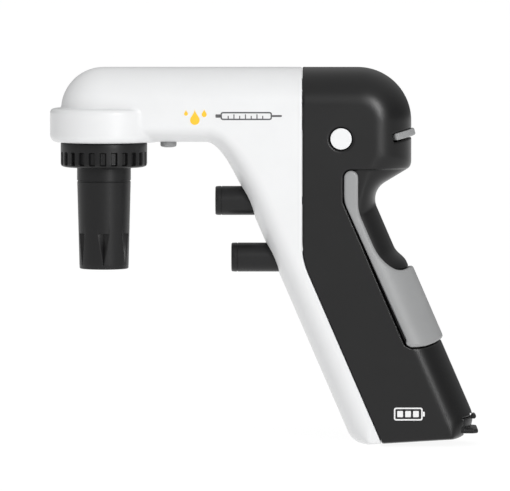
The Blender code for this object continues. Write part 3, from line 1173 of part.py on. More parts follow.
def main():
    clear_scene()
    shop = Workshop()
    shop.material("white_plastic", (0.85, 0.86, 0.87), roughness=0.45)
    shop.material("black_plastic", (0.018, 0.018, 0.02), roughness=0.35)
    shop.material("grey_plastic", (0.36, 0.37, 0.38), roughness=0.5)
    shop.material("dark_plastic", (0.045, 0.046, 0.05), roughness=0.4)
    shop.material("mid_grey_plastic", (0.22, 0.23, 0.24), roughness=0.5)
    shop.material("clear_rubber", (0.75, 0.76, 0.76), roughness=0.35)
    shop.material("rubber", (0.03, 0.03, 0.03), roughness=0.8)
    shop.material("steel", (0.6, 0.6, 0.62), metallic=1.0, roughness=0.3)
    shop.material("cell_wrap", (0.1, 0.28, 0.2), roughness=0.4)
    shop.material("board_green", (0.02, 0.16, 0.06), roughness=0.5)
    shop.material("wire_red", (0.5, 0.03, 0.02), roughness=0.5)
    shop.material("wire_black", (0.02, 0.02, 0.02), roughness=0.5)
    housing = Housing(shop)
    housing.build()
    build_screws(shop)
    build_stand(shop, housing)
    build_nose(shop)
    build_trigger(shop, "aspirate_trigger", "aspirate", UPPER_TRIGGER, 5)
    build_trigger(shop, "dispense_trigger", "dispense", LOWER_TRIGGER, 3)
    build_mode_button(shop)
    build_lever(shop)
    build_valves(shop)
    motor_end = build_pump(shop)
    build_hoses(shop, motor_end)
    board_z = build_board(shop, motor_end)
    build_cells(shop, board_z)
    build_charging(shop, housing)
    shop.root.location = settle(shop)
    for helper in shop.helpers.objects:
        helper.parent = shop.root


main()
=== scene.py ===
"""Looks of a motorized pipette controller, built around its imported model.

The housing and the bench stand are carved as smooth fields on a grid and meshed; turned
pieces are lathed with rounded corners; every surface gets a node material.
"""

import json
import logging
import math
from collections.abc import Callable, Sequence
from dataclasses import dataclass, field
from enum import Enum

import bmesh
import bpy
import numpy as np
from mathutils import Matrix, Vector


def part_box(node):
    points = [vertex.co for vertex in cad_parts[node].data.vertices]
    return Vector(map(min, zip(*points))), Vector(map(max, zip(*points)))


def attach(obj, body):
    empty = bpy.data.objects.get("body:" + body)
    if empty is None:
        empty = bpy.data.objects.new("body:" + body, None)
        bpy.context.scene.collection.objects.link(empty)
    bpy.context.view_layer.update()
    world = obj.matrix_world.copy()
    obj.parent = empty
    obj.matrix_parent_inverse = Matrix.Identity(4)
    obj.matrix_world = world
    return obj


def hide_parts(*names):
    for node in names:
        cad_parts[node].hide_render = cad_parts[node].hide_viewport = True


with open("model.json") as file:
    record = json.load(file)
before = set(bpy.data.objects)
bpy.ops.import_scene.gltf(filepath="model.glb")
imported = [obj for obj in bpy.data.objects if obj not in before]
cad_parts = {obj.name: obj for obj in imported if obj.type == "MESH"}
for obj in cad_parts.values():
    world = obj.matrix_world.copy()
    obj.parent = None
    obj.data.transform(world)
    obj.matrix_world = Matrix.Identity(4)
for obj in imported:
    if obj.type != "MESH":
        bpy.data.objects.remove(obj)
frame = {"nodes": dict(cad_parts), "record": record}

LOG = logging.getLogger("pipette_controller")
MM = 0.001
Point = tuple[float, float]
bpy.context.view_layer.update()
COLLAR_TOP = 126.2
FLOOR_HALF = 150.0
FLOOR_DROP = 0.0003
MIDDLE_HEIGHT = 0.08
SHELL_STEP, QUICK_SHELL_STEP = 0.5, 0.75
SMALL_STEP, QUICK_SMALL_STEP = 0.25, 0.4


# ------------------------------------------------------------------ outline geometry
def polar(centre: Point, radius: float, degrees: float) -> Point:
    """Return the point at an angle and radius from a centre."""
    turn = math.radians(degrees)
    return (centre[0] + radius * math.cos(turn), centre[1] + radius * math.sin(turn))


def arc(centre: Point, radius: float, start: float, end: float, steps: int) -> list[Point]:
    """Return points on an arc, both ends included."""
    return [polar(centre, radius, start + (end - start) * i / steps) for i in range(steps + 1)]


def bezier(p0: Point, p1: Point, p2: Point, p3: Point, steps: int) -> list[Point]:
    """Return points on a cubic Bezier, both ends included.

    Args:
        p0: The start.
        p1: The start's handle.
        p2: The end's handle.
        p3: The end.
        steps: Number of pieces between the ends.

    Returns:
        The points, one more than the steps.
    """
    out = []
    for i in range(steps + 1):
        t = i / steps
        w = ((1 - t) ** 3, 3 * t * (1 - t) ** 2, 3 * t * t * (1 - t), t**3)
        out.append(
            (
                sum(a * p[0] for a, p in zip(w, (p0, p1, p2, p3))),
                sum(a * p[1] for a, p in zip(w, (p0, p1, p2, p3))),
            )
        )
    return out


def shifted(point: Point, direction: Point, distance: float) -> Point:
    """Return a point moved along a direction."""
    return (point[0] + direction[0] * distance, point[1] + direction[1] * distance)


def spread(a: Point, b: Point, count: int) -> list[Point]:
    """Return count points evenly from a to b."""
    return [
        (a[0] + (b[0] - a[0]) * i / (count - 1), a[1] + (b[1] - a[1]) * i / (count - 1)) for i in range(count)
    ]


def rounded(points: Sequence[Point], radius: float | Sequence[float], steps: int = 5) -> list[Point]:
    """Round the inner corners of an open profile.

    Args:
        points: The profile's corners, in order.
        radius: One radius for all corners, or one for each point.
        steps: Facets of each rounded corner.

    Returns:
        The profile with an arc-like bend at each corner.
    """
    radii = [radius] * len(points) if isinstance(radius, (int, float)) else list(radius)
    out: list[Point] = [points[0]]
    for i in range(1, len(points) - 1):
        a, b, c = (Vector(points[i + k]) for k in (-1, 0, 1))
        cut = min(radii[i], (a - b).length * 0.49, (c - b).length * 0.49)
        if cut < 1e-4:
            out.append(points[i])
            continue
        start, end = b + (a - b).normalized() * cut, b + (c - b).normalized() * cut
        for k in range(steps + 1):
            t = k / steps
            out.append(tuple((1 - t) ** 2 * start + 2 * t * (1 - t) * b + t * t * end))
    out.append(points[-1])
    return out


# ------------------------------------------------------------------ fields
def smooth_max(a: np.ndarray, b: np.ndarray, width: float) -> np.ndarray:
    """Return the larger of two fields, with the crease between them rounded."""
    h = np.clip(0.5 + 0.5 * (a - b) / width, 0, 1)
    return b + (a - b) * h + width * h * (1 - h)


def smooth_min(a: np.ndarray, b: np.ndarray, width: float) -> np.ndarray:
    """Return the smaller of two fields, with the crease between them rounded."""
    return -smooth_max(-a, -b, width)


def ramp(x: np.ndarray, low: float, high: float) -> np.ndarray:
    """Return a smooth step from 0 at low to 1 at high."""
    t = np.clip((x - low) / (high - low), 0, 1)
    return t * t * (3 - 2 * t)


def polygon_field(points: Sequence[Point], x: np.ndarray, z: np.ndarray) -> np.ndarray:
    """Return the signed distance to a closed outline, negative inside.

    Args:
        points: The outline's corners.
        x: X of each place.
        z: Z of each place.

    Returns:
        One distance for each place.
    """
    best = np.full(x.shape, 1e9)
    inside = np.zeros(x.shape, bool)
    for (ax, az), (bx, bz) in zip(points, [*points[1:], points[0]]):
        dx, dz = bx - ax, bz - az
        length = dx * dx + dz * dz
        if length < 1e-12:
            continue
        t = np.clip(((x - ax) * dx + (z - az) * dz) / length, 0, 1)
        best = np.minimum(best, (x - ax - t * dx) ** 2 + (z - az - t * dz) ** 2)
        crosses = (az > z) != (bz > z)
        if abs(dz) > 1e-12:
            inside ^= crosses & (x < ax + (z - az) * dx / dz)
    return np.where(inside, -1.0, 1.0) * np.sqrt(best)


def line_field(points: Sequence[Point], x: np.ndarray, z: np.ndarray) -> np.ndarray:
    """Return the signed distance to a line of points running down, positive on its +X side.

    Args:
        points: The points, in order.
        x: X of each place.
        z: Z of each place.

    Returns:
        One distance for each place.
    """
    best = np.full(x.shape, 1e9)
    sign = np.zeros(x.shape)
    for (ax, az), (bx, bz) in zip(points, points[1:]):
        dx, dz = bx - ax, bz - az
        t = np.clip(((x - ax) * dx + (z - az) * dz) / (dx * dx + dz * dz), 0, 1)
        distance = (x - ax - t * dx) ** 2 + (z - az - t * dz) ** 2
        side = np.sign(-(x - ax) * dz + (z - az) * dx)
        sign = np.where(distance < best - 1e-9, side, sign)
        best = np.minimum(best, distance)
    return sign * np.sqrt(best)


def blurred(values: np.ndarray, sigma: float) -> np.ndarray:
    """Return a 2D array blurred by a Gaussian given in cells.

    Args:
        values: The array.
        sigma: The Gaussian's width.

    Returns:
        A new array of the same shape.
    """
    reach = int(math.ceil(3 * sigma))
    weights = np.exp(-0.5 * (np.arange(-reach, reach + 1) / sigma) ** 2)
    weights /= weights.sum()
    for axis in (0, 1):
        padded = np.pad(values, [(reach, reach) if k == axis else (0, 0) for k in (0, 1)], mode="edge")
        total = np.zeros_like(values)
        for i, w in enumerate(weights):
            part = padded[i : i + values.shape[0], :] if axis == 0 else padded[:, i : i + values.shape[1]]
            total += w * part
        values = total
    return values


@dataclass
class Grid:
    """A block of space divided into cubes, in millimetres; values live on its corners."""

    low: tuple[float, float, float]
    high: tuple[float, float, float]
    step: float

    def __post_init__(self) -> None:
        """Lay out the three axes."""
        self.axes = [np.arange(a, b + self.step, self.step) for a, b in zip(self.low, self.high)]
        self.x = self.axes[0][:, None, None]
        self.y = self.axes[1][None, :, None]
        self.z = self.axes[2][None, None, :]
        self.side_x, self.side_z = np.meshgrid(self.axes[0], self.axes[2], indexing="ij")

    def across(self, side: np.ndarray) -> np.ndarray:
        """Return a side-view array stretched across the grid."""
        return side[:, None, :]

    def as_distance(self, values: np.ndarray) -> np.ndarray:
        """Return a field divided by its slope, so that it measures distance near its surface.

        Args:
            values: The field.

        Returns:
            The scaled field.
        """
        gx, gy, gz = np.gradient(values, self.step)
        slope = np.sqrt(gx * gx + gy * gy + gz * gz)
        return values / np.maximum(slope, 0.02)


class Carver:
    """Turns a field on a grid into a smooth mesh with its own normals."""

    def __init__(self, grid: Grid, values: np.ndarray) -> None:
        """Keep the grid and its field."""
        self.grid = grid
        self.values = np.ascontiguousarray(values, np.float32)

    def sample(self, points: np.ndarray) -> np.ndarray:
        """Return the field at points given in cells.

        Args:
            points: One row for each point.

        Returns:
            One value for each point.
        """
        shape = self.values.shape
        base = np.clip(np.floor(points).astype(np.int64), 0, np.array(shape) - 2)
        t = (points - base).astype(np.float32)
        flat = self.values.ravel()
        start = (base[:, 0] * shape[1] + base[:, 1]) * shape[2] + base[:, 2]
        total = np.zeros(len(points), np.float32)
        for i in (0, 1):
            wx = t[:, 0] if i else 1 - t[:, 0]
            for j in (0, 1):
                wy = t[:, 1] if j else 1 - t[:, 1]
                for k in (0, 1):
                    wz = t[:, 2] if k else 1 - t[:, 2]
                    total += wx * wy * wz * flat[start + (i * shape[1] + j) * shape[2] + k]
        return total

    def slope(self, points: np.ndarray) -> np.ndarray:
        """Return the field's gradient at points given in cells.

        Args:
            points: One row for each point.

        Returns:
            One gradient for each point.
        """
        out = np.empty((len(points), 3), np.float32)
        for axis in range(3):
            offset = np.zeros(3)
            offset[axis] = 0.6
            out[:, axis] = (self.sample(points + offset) - self.sample(points - offset)) / 1.2
        return out

    def net(self) -> tuple[np.ndarray, np.ndarray]:
        """Return the surface net's points, in cells, and its quads.

        Returns:
            The points and the quads' point numbers.
        """
        values = self.values
        inside = values < 0
        shape = np.array(values.shape)
        cells = shape - 1
        total = np.zeros((int(np.prod(cells)), 3))
        count = np.zeros(int(np.prod(cells)))
        quads = []
        for axis in range(3):
            first = [slice(None)] * 3
            second = [slice(None)] * 3
            first[axis], second[axis] = slice(0, -1), slice(1, None)
            a, b = inside[tuple(first)], inside[tuple(second)]
            index = np.argwhere(a != b)
            start = values[tuple(first)][tuple(index.T)]
            end = values[tuple(second)][tuple(index.T)]
            place = index.astype(float)
            place[:, axis] += start / (start - end)
            u, v = (axis + 1) % 3, (axis + 2) % 3
            corners = []
            for du, dv in ((-1, -1), (0, -1), (0, 0), (-1, 0)):
                cell = index.copy()
                cell[:, u] += du
                cell[:, v] += dv
                good = ((cell >= 0) & (cell < cells)).all(1)
                flat = (cell[:, 0] * cells[1] + cell[:, 1]) * cells[2] + cell[:, 2]
                flat = np.where(good, flat, -1)
                corners.append(flat)
                used = flat[good]
                for k in range(3):
                    total[:, k] += np.bincount(used, place[good, k], len(total))
                count += np.bincount(used, minlength=len(count))
            quad = np.stack(corners, 1)
            outward = a[tuple(index.T)]
            quad[~outward] = quad[~outward, ::-1]
            quads.append(quad[(quad >= 0).all(1)])
        used = np.flatnonzero(count)
        number = np.full(len(count), -1)
        number[used] = np.arange(len(used))
        return total[used] / count[used, None], number[np.concatenate(quads)]

    def mesh(
        self, name: str, place: Callable[[np.ndarray], np.ndarray], mirrored: bool = False
    ) -> bpy.types.Object:
        """Build the object.

        Args:
            name: The object's name.
            place: Turns millimetres on the grid into metres in the frame.
            mirrored: Whether the object is the mirror image across the middle plane.

        Returns:
            The new object.
        """
        points, quads = self.net()
        scale = self.grid.step
        for _ in range(3):
            slope = self.slope(points)
            push = self.sample(points) / np.maximum((slope**2).sum(1), 1e-6)
            points = points - np.clip(push[:, None] * slope, -0.35, 0.35)
        slope = self.slope(points)
        normals = slope / np.maximum(np.linalg.norm(slope, axis=1, keepdims=True), 1e-9)
        world = points * scale + np.array([axis[0] for axis in self.grid.axes])
        if mirrored:
            world[:, 1] *= -1
            normals[:, 1] *= -1
            quads = quads[:, ::-1]
        return mesh_object(name, place(world), quads, normals)


def mesh_object(
    name: str, points: np.ndarray, faces: np.ndarray, normals: np.ndarray | None = None
) -> bpy.types.Object:
    """Make a smooth-shaded object from arrays of points and faces, with its normals if given.

    Args:
        name: The new object's name.
        points: One row for each point, in metres.
        faces: One row of point numbers for each face.
        normals: One direction for each point.

    Returns:
        The new object.
    """
    mesh = bpy.data.meshes.new(name)
    mesh.from_pydata(points.tolist(), [], faces.tolist())
    mesh.polygons.foreach_set("use_smooth", [True] * len(mesh.polygons))
    mesh.validate()
    mesh.update()
    if normals is not None:
        mesh.normals_split_custom_set_from_vertices(normals.tolist())
    obj = bpy.data.objects.new(name, mesh)
    bpy.context.scene.collection.objects.link(obj)
    return obj


def sharpen(obj: bpy.types.Object, degrees: float = 40) -> bpy.types.Object:
    """Shade an object smooth except at edges sharper than an angle.

    Args:
        obj: The object.
        degrees: The least angle of a sharp edge.

    Returns:
        The same object.
    """
    obj.data.polygons.foreach_set("use_smooth", [True] * len(obj.data.polygons))
    obj.data.set_sharp_from_angle(angle=math.radians(degrees))
    return obj


def lathe(
    name: str,
    profile: Sequence[Point],
    segments: int = 96,
    swell: Callable[[float, float, float], float] | None = None,
) -> bpy.types.Object:
    """Turn a profile about Z.

    Args:
        name: The object's name.
        profile: (radius, height) pairs in millimetres, outer side running down; it is closed
            on itself, and ends on the axis are joined to a point.
        segments: Facets around the axis.
        swell: Adds to the radius at (radius, height, angle), for ribs and flutes.

    Returns:
        The new object, around the origin.
    """
    body = bmesh.new()
    rows = []
    for radius, height in profile:
        if radius < 1e-5:
            rows.append([body.verts.new((0, 0, height * MM))])
            continue
        row = []
        for i in range(segments):
            angle = 2 * math.pi * i / segments
            r = (radius + (swell(radius, height, angle) if swell else 0)) * MM
            row.append(body.verts.new((r * math.cos(angle), r * math.sin(angle), height * MM)))
        rows.append(row)
    pairs = list(zip(rows, rows[1:]))
    if len(rows[0]) > 1 and len(rows[-1]) > 1:
        pairs.append((rows[-1], rows[0]))
    for upper, lower in pairs:
        for i in range(segments):
            j = (i + 1) % segments
            if len(upper) == 1 and len(lower) == 1:
                continue
            if len(upper) == 1:
                body.faces.new((upper[0], lower[i], lower[j]))
            elif len(lower) == 1:
                body.faces.new((upper[i], lower[0], upper[j]))
            else:
                body.faces.new((upper[i], lower[i], lower[j], upper[j]))
    bmesh.ops.recalc_face_normals(body, faces=body.faces)
    mesh = bpy.data.meshes.new(name)
    body.to_mesh(mesh)
    body.free()
    obj = bpy.data.objects.new(name, mesh)
    bpy.context.scene.collection.objects.link(obj)
    return sharpen(obj)


def move(obj: bpy.types.Object, matrix: Matrix) -> bpy.types.Object:
    """Move an object's mesh by a matrix and return the object.

    Args:
        obj: The object.
        matrix: The move.

    Returns:
        The same object.
    """
    obj.data.transform(matrix)
    obj.data.update()
    return obj


# ------------------------------------------------------------------ materials
class Val:
    """A shader socket that builds Math nodes from Python expressions."""

    def __init__(self, shader: "Shader", socket: bpy.types.NodeSocket) -> None:
        """Keep the shader and the socket."""
        self.shader = shader
        self.socket = socket

    def maths(self, operation: str, *others: "Val | float") -> "Val":
        """Return one Math node's result on this value and others."""
        return self.shader.node(
            "ShaderNodeMath", {"operation": operation}, {i: v for i, v in enumerate((self, *others))}
        )

    def __add__(self, other: "Val | float") -> "Val":
        """Return the sum."""
        return self.maths("ADD", other)

    __radd__ = __add__

    def __mul__(self, other: "Val | float") -> "Val":
        """Return the product."""
        return self.maths("MULTIPLY", other)

    __rmul__ = __mul__

    def __sub__(self, other: "Val | float") -> "Val":
        """Return the difference."""
        return self.maths("SUBTRACT", other)

    def __rsub__(self, other: float) -> "Val":
        """Return a number less this value."""
        return self * -1.0 + other

    def between(self, low: float, high: float) -> "Val":
        """Return a smooth 0 to 1 step as this value goes from low to high."""
        ranged = {"interpolation_type": "SMOOTHSTEP", "clamp": True}
        return self.shader.node(
            "ShaderNodeMapRange", ranged, {"Value": self, "From Min": low, "From Max": high}, "Result"
        )


class Shader:
    """One material's node tree, around its Principled shader."""

    def __init__(self, name: str) -> None:
        """Start a material with a bare Principled shader.

        Args:
            name: The material's name.
        """
        self.material = bpy.data.materials.new(name)
        self.material.use_nodes = True
        self.tree = self.material.node_tree
        self.surface = self.tree.nodes["Principled BSDF"]

    @classmethod
    def around(cls, tree: bpy.types.NodeTree, surface: str) -> "Shader":
        """Return a shader on a node tree that is there already.

        Args:
            tree: The node tree.
            surface: The name of the node that set() feeds.

        Returns:
            The shader.
        """
        shader = cls.__new__(cls)
        shader.tree, shader.surface = tree, tree.nodes[surface]
        return shader

    def node(self, kind: str, settings: dict, inputs: dict, output: str | int = 0) -> Val:
        """Add a node.

        Args:
            kind: The node's type.
            settings: Its properties, set first.
            inputs: Values or links by socket name or number.
            output: The socket to return.

        Returns:
            The chosen output.
        """
        made = self.tree.nodes.new(kind)
        for key, value in settings.items():
            setattr(made, key, value)
        for key, value in inputs.items():
            self.feed(made.inputs[key], value)
        return Val(self, made.outputs[output])

    def feed(self, socket: bpy.types.NodeSocket, value: object) -> None:
        """Link a value to a socket, or set it.

        Args:
            socket: The socket.
            value: A shader value or a plain one.
        """
        if isinstance(value, Val):
            self.tree.links.new(value.socket, socket)
        else:
            socket.default_value = value

    def set(self, name: str, value: object) -> None:
        """Link or set one of the surface's inputs."""
        self.feed(self.surface.inputs[name], value)

    def place(self) -> Val:
        """Return the point's place in the piece, in metres."""
        return self.node("ShaderNodeTexCoord", {}, {}, "Object")

    def noise(self, place: Val, scale: float, detail: float = 2.0, rough: float = 0.5) -> Val:
        """Return a noise value at cycles per metre."""
        return self.node(
            "ShaderNodeTexNoise",
            {},
            {"Vector": place, "Scale": scale, "Detail": detail, "Roughness": rough},
            "Fac",
        )

    def mix(self, share: Val, a: Sequence[float] | Val, b: Sequence[float] | Val) -> Val:
        """Return a colour between two.

        Args:
            share: The second colour's share.
            a: The first colour.
            b: The second colour.

        Returns:
            The mixed colour.
        """
        made = self.tree.nodes.new("ShaderNodeMix")
        made.data_type = "RGBA"
        sockets = {s.identifier: s for s in made.inputs}
        self.feed(sockets["Factor_Float"], share)
        for key, value in (("A_Color", a), ("B_Color", b)):
            self.feed(sockets[key], value if isinstance(value, Val) else (*value, 1))
        return Val(self, next(s for s in made.outputs if s.identifier == "Result_Color"))

    def bump(self, height: Val, depth: float, under: Val | None = None) -> Val:
        """Return normals bumped by a height, in metres of depth.

        Args:
            height: The height, 0 to 1.
            depth: The depth of a full height.
            under: Normals to start from.

        Returns:
            The normals.
        """
        inputs = {"Height": height, "Distance": depth, "Strength": 1.0}
        if under is not None:
            inputs["Normal"] = under
        return self.node("ShaderNodeBump", {}, inputs, "Normal")


class Grain(Enum):
    """How a surface was finished in its mould or shop."""

    POLISHED = "polished"
    SPARKED = "sparked"
    BRUSHED = "brushed"
    RUBBERY = "rubbery"


@dataclass(frozen=True)
class Finish:
    """One material: its colour, gloss and grain."""

    name: str
    colour: tuple[float, float, float]
    roughness: float
    grain: Grain = Grain.SPARKED
    grain_size: float = 0.00022
    grain_depth: float = 0.000006
    metallic: float = 0.0
    coat: float = 0.0
    specular: float = 0.5
    scatter: float = 0.0
    wear: float = 0.06
    glow: float = 0.0

    def build(self) -> bpy.types.Material:
        """Return the node material.

        Returns:
            The new material.
        """
        shader = Shader(self.name)
        place = shader.place()
        if self.grain is Grain.BRUSHED:
            place = shader.node("ShaderNodeMapping", {}, {"Vector": place, "Scale": (1.0, 1.0, 0.06)})
        fine = shader.noise(place, 1 / self.grain_size, 3.0, 0.55)
        cloudy = shader.noise(place, 45.0, 3.0, 0.6)
        darker = tuple(c * (1 - self.wear) for c in self.colour)
        lighter = tuple(min(c * (1 + self.wear), 1.0) for c in self.colour)
        shader.set("Base Color", shader.mix(cloudy.between(0.3, 0.7), darker, lighter))
        shader.set("Roughness", self.roughness - 0.05 + cloudy * 0.06 + fine * 0.05)
        shader.set("Normal", shader.bump(fine, self.grain_depth))
        shader.set("Metallic", self.metallic)
        shader.set("Specular IOR Level", self.specular)
        shader.set("Coat Weight", self.coat)
        shader.set("Coat Roughness", 0.12)
        if self.glow:
            shader.set("Emission Color", (1.0, 1.0, 1.0, 1.0))
            shader.set("Emission Strength", self.glow)
        if self.scatter:
            shader.set("Subsurface Weight", self.scatter)
            shader.set("Subsurface Radius", (0.001, 0.0009, 0.0008))
        return shader.material


@dataclass
class Palette:
    """Every finish of the object, by the record's slot names."""

    white_plastic: Finish = Finish(
        "satin_white_shell", (0.74, 0.745, 0.75), 0.36, grain_depth=0.000002, coat=0.12, wear=0.012
    )
    black_plastic: Finish = Finish(
        "satin_black_shell", (0.0035, 0.0035, 0.0037), 0.33, grain_depth=0.000003, specular=0.38, wear=0.1
    )
    grey_plastic: Finish = Finish(
        "light_grey_satin", (0.28, 0.283, 0.285), 0.42, grain_depth=0.000005, wear=0.03
    )
    dark_plastic: Finish = Finish(
        "charcoal_satin", (0.008, 0.008, 0.0084), 0.38, grain_depth=0.000003, specular=0.3, wear=0.12
    )
    mid_grey_plastic: Finish = Finish("mid_grey_satin", (0.29, 0.292, 0.295), 0.42, wear=0.05)
    clear_rubber: Finish = Finish(
        "milky_silicone", (0.72, 0.73, 0.72), 0.38, Grain.RUBBERY, 0.0006, 0.000004, scatter=0.5
    )
    rubber: Finish = Finish(
        "black_rubber", (0.02, 0.02, 0.02), 0.75, Grain.RUBBERY, 0.0004, 0.00001, wear=0.2
    )
    steel: Finish = Finish(
        "zinc_plated_steel", (0.62, 0.62, 0.64), 0.3, Grain.BRUSHED, 0.0001, 0.000003, metallic=1.0, wear=0.08
    )
    cell_wrap: Finish = Finish(
        "cell_shrink_wrap", (0.06, 0.22, 0.15), 0.3, Grain.POLISHED, 0.002, 0.00001, coat=0.3
    )
    board_green: Finish = Finish(
        "solder_mask", (0.012, 0.13, 0.045), 0.4, Grain.POLISHED, 0.0008, 0.000004, coat=0.4
    )
    wire_red: Finish = Finish("red_insulation", (0.42, 0.02, 0.015), 0.45, Grain.POLISHED, 0.0006, 0.000004)
    wire_black: Finish = Finish(
        "black_insulation", (0.015, 0.015, 0.015), 0.45, Grain.POLISHED, 0.0006, 0.000004
    )
    amber_ink: Finish = Finish("amber_ink", (0.85, 0.50, 0.02), 0.5, Grain.POLISHED, wear=0.08)
    grey_ink: Finish = Finish("grey_ink", (0.085, 0.087, 0.09), 0.5, Grain.POLISHED, wear=0.08)
    white_ink: Finish = Finish("white_ink", (0.74, 0.74, 0.74), 0.5, Grain.POLISHED, wear=0.04)
    made: dict[str, bpy.types.Material] = field(default_factory=dict)

    def get(self, slot: str) -> bpy.types.Material:
        """Return a slot's material, built the first time it is asked for.

        Args:
            slot: The slot's name.

        Returns:
            Its material.
        """
        if slot not in self.made:
            self.made[slot] = getattr(self, slot).build()
        return self.made[slot]

    def dress(self, obj: bpy.types.Object, slot: str) -> bpy.types.Object:
        """Give an object one slot's material.

        Args:
            obj: The object.
            slot: The slot's name.

        Returns:
            The same object.
        """
        obj.data.materials.clear()
        obj.data.materials.append(self.get(slot))
        return obj


@dataclass
class Workshop:
    """The frame's origin in design millimetres, and how a finished piece joins its body."""

    palette: Palette
    nose_x: float = 0.0
    base_z: float = 0.0
    count: int = 0

    def __post_init__(self) -> None:
        """Find the design origin from the nose cone's axis and the collar nut's top."""
        low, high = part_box("nose_cone")
        self.nose_x = (low.x + high.x) / 2 / MM
        self.base_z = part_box("collar_nut")[1].z / MM - COLLAR_TOP

    def world(self, points: np.ndarray) -> np.ndarray:
        """Turn design millimetres into metres in the frame."""
        return (points + np.array([self.nose_x, 0.0, self.base_z])) * MM

    def at(self, x: float, y: float, z: float) -> Matrix:
        """Return the move from the design origin's axes to a design point."""
        return Matrix.Translation(((x + self.nose_x) * MM, y * MM, (z + self.base_z) * MM))

    def keep(
        self, obj: bpy.types.Object, body: str, slot: str, replaces: Sequence[str] = ()
    ) -> bpy.types.Object:
        """Finish a piece.

        Args:
            obj: The piece, in place in the frame.
            body: The CAD body it rides on.
            slot: Its material slot.
            replaces: The CAD nodes it stands for.

        Returns:
            The piece.
        """
        self.palette.dress(obj, slot)
        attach(obj, body)
        if replaces:
            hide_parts(*replaces)
        not slot.endswith("_ink")
        self.count += 1
        LOG.info("piece %s on %s, %d faces", obj.name, body, len(obj.data.polygons))
        return obj


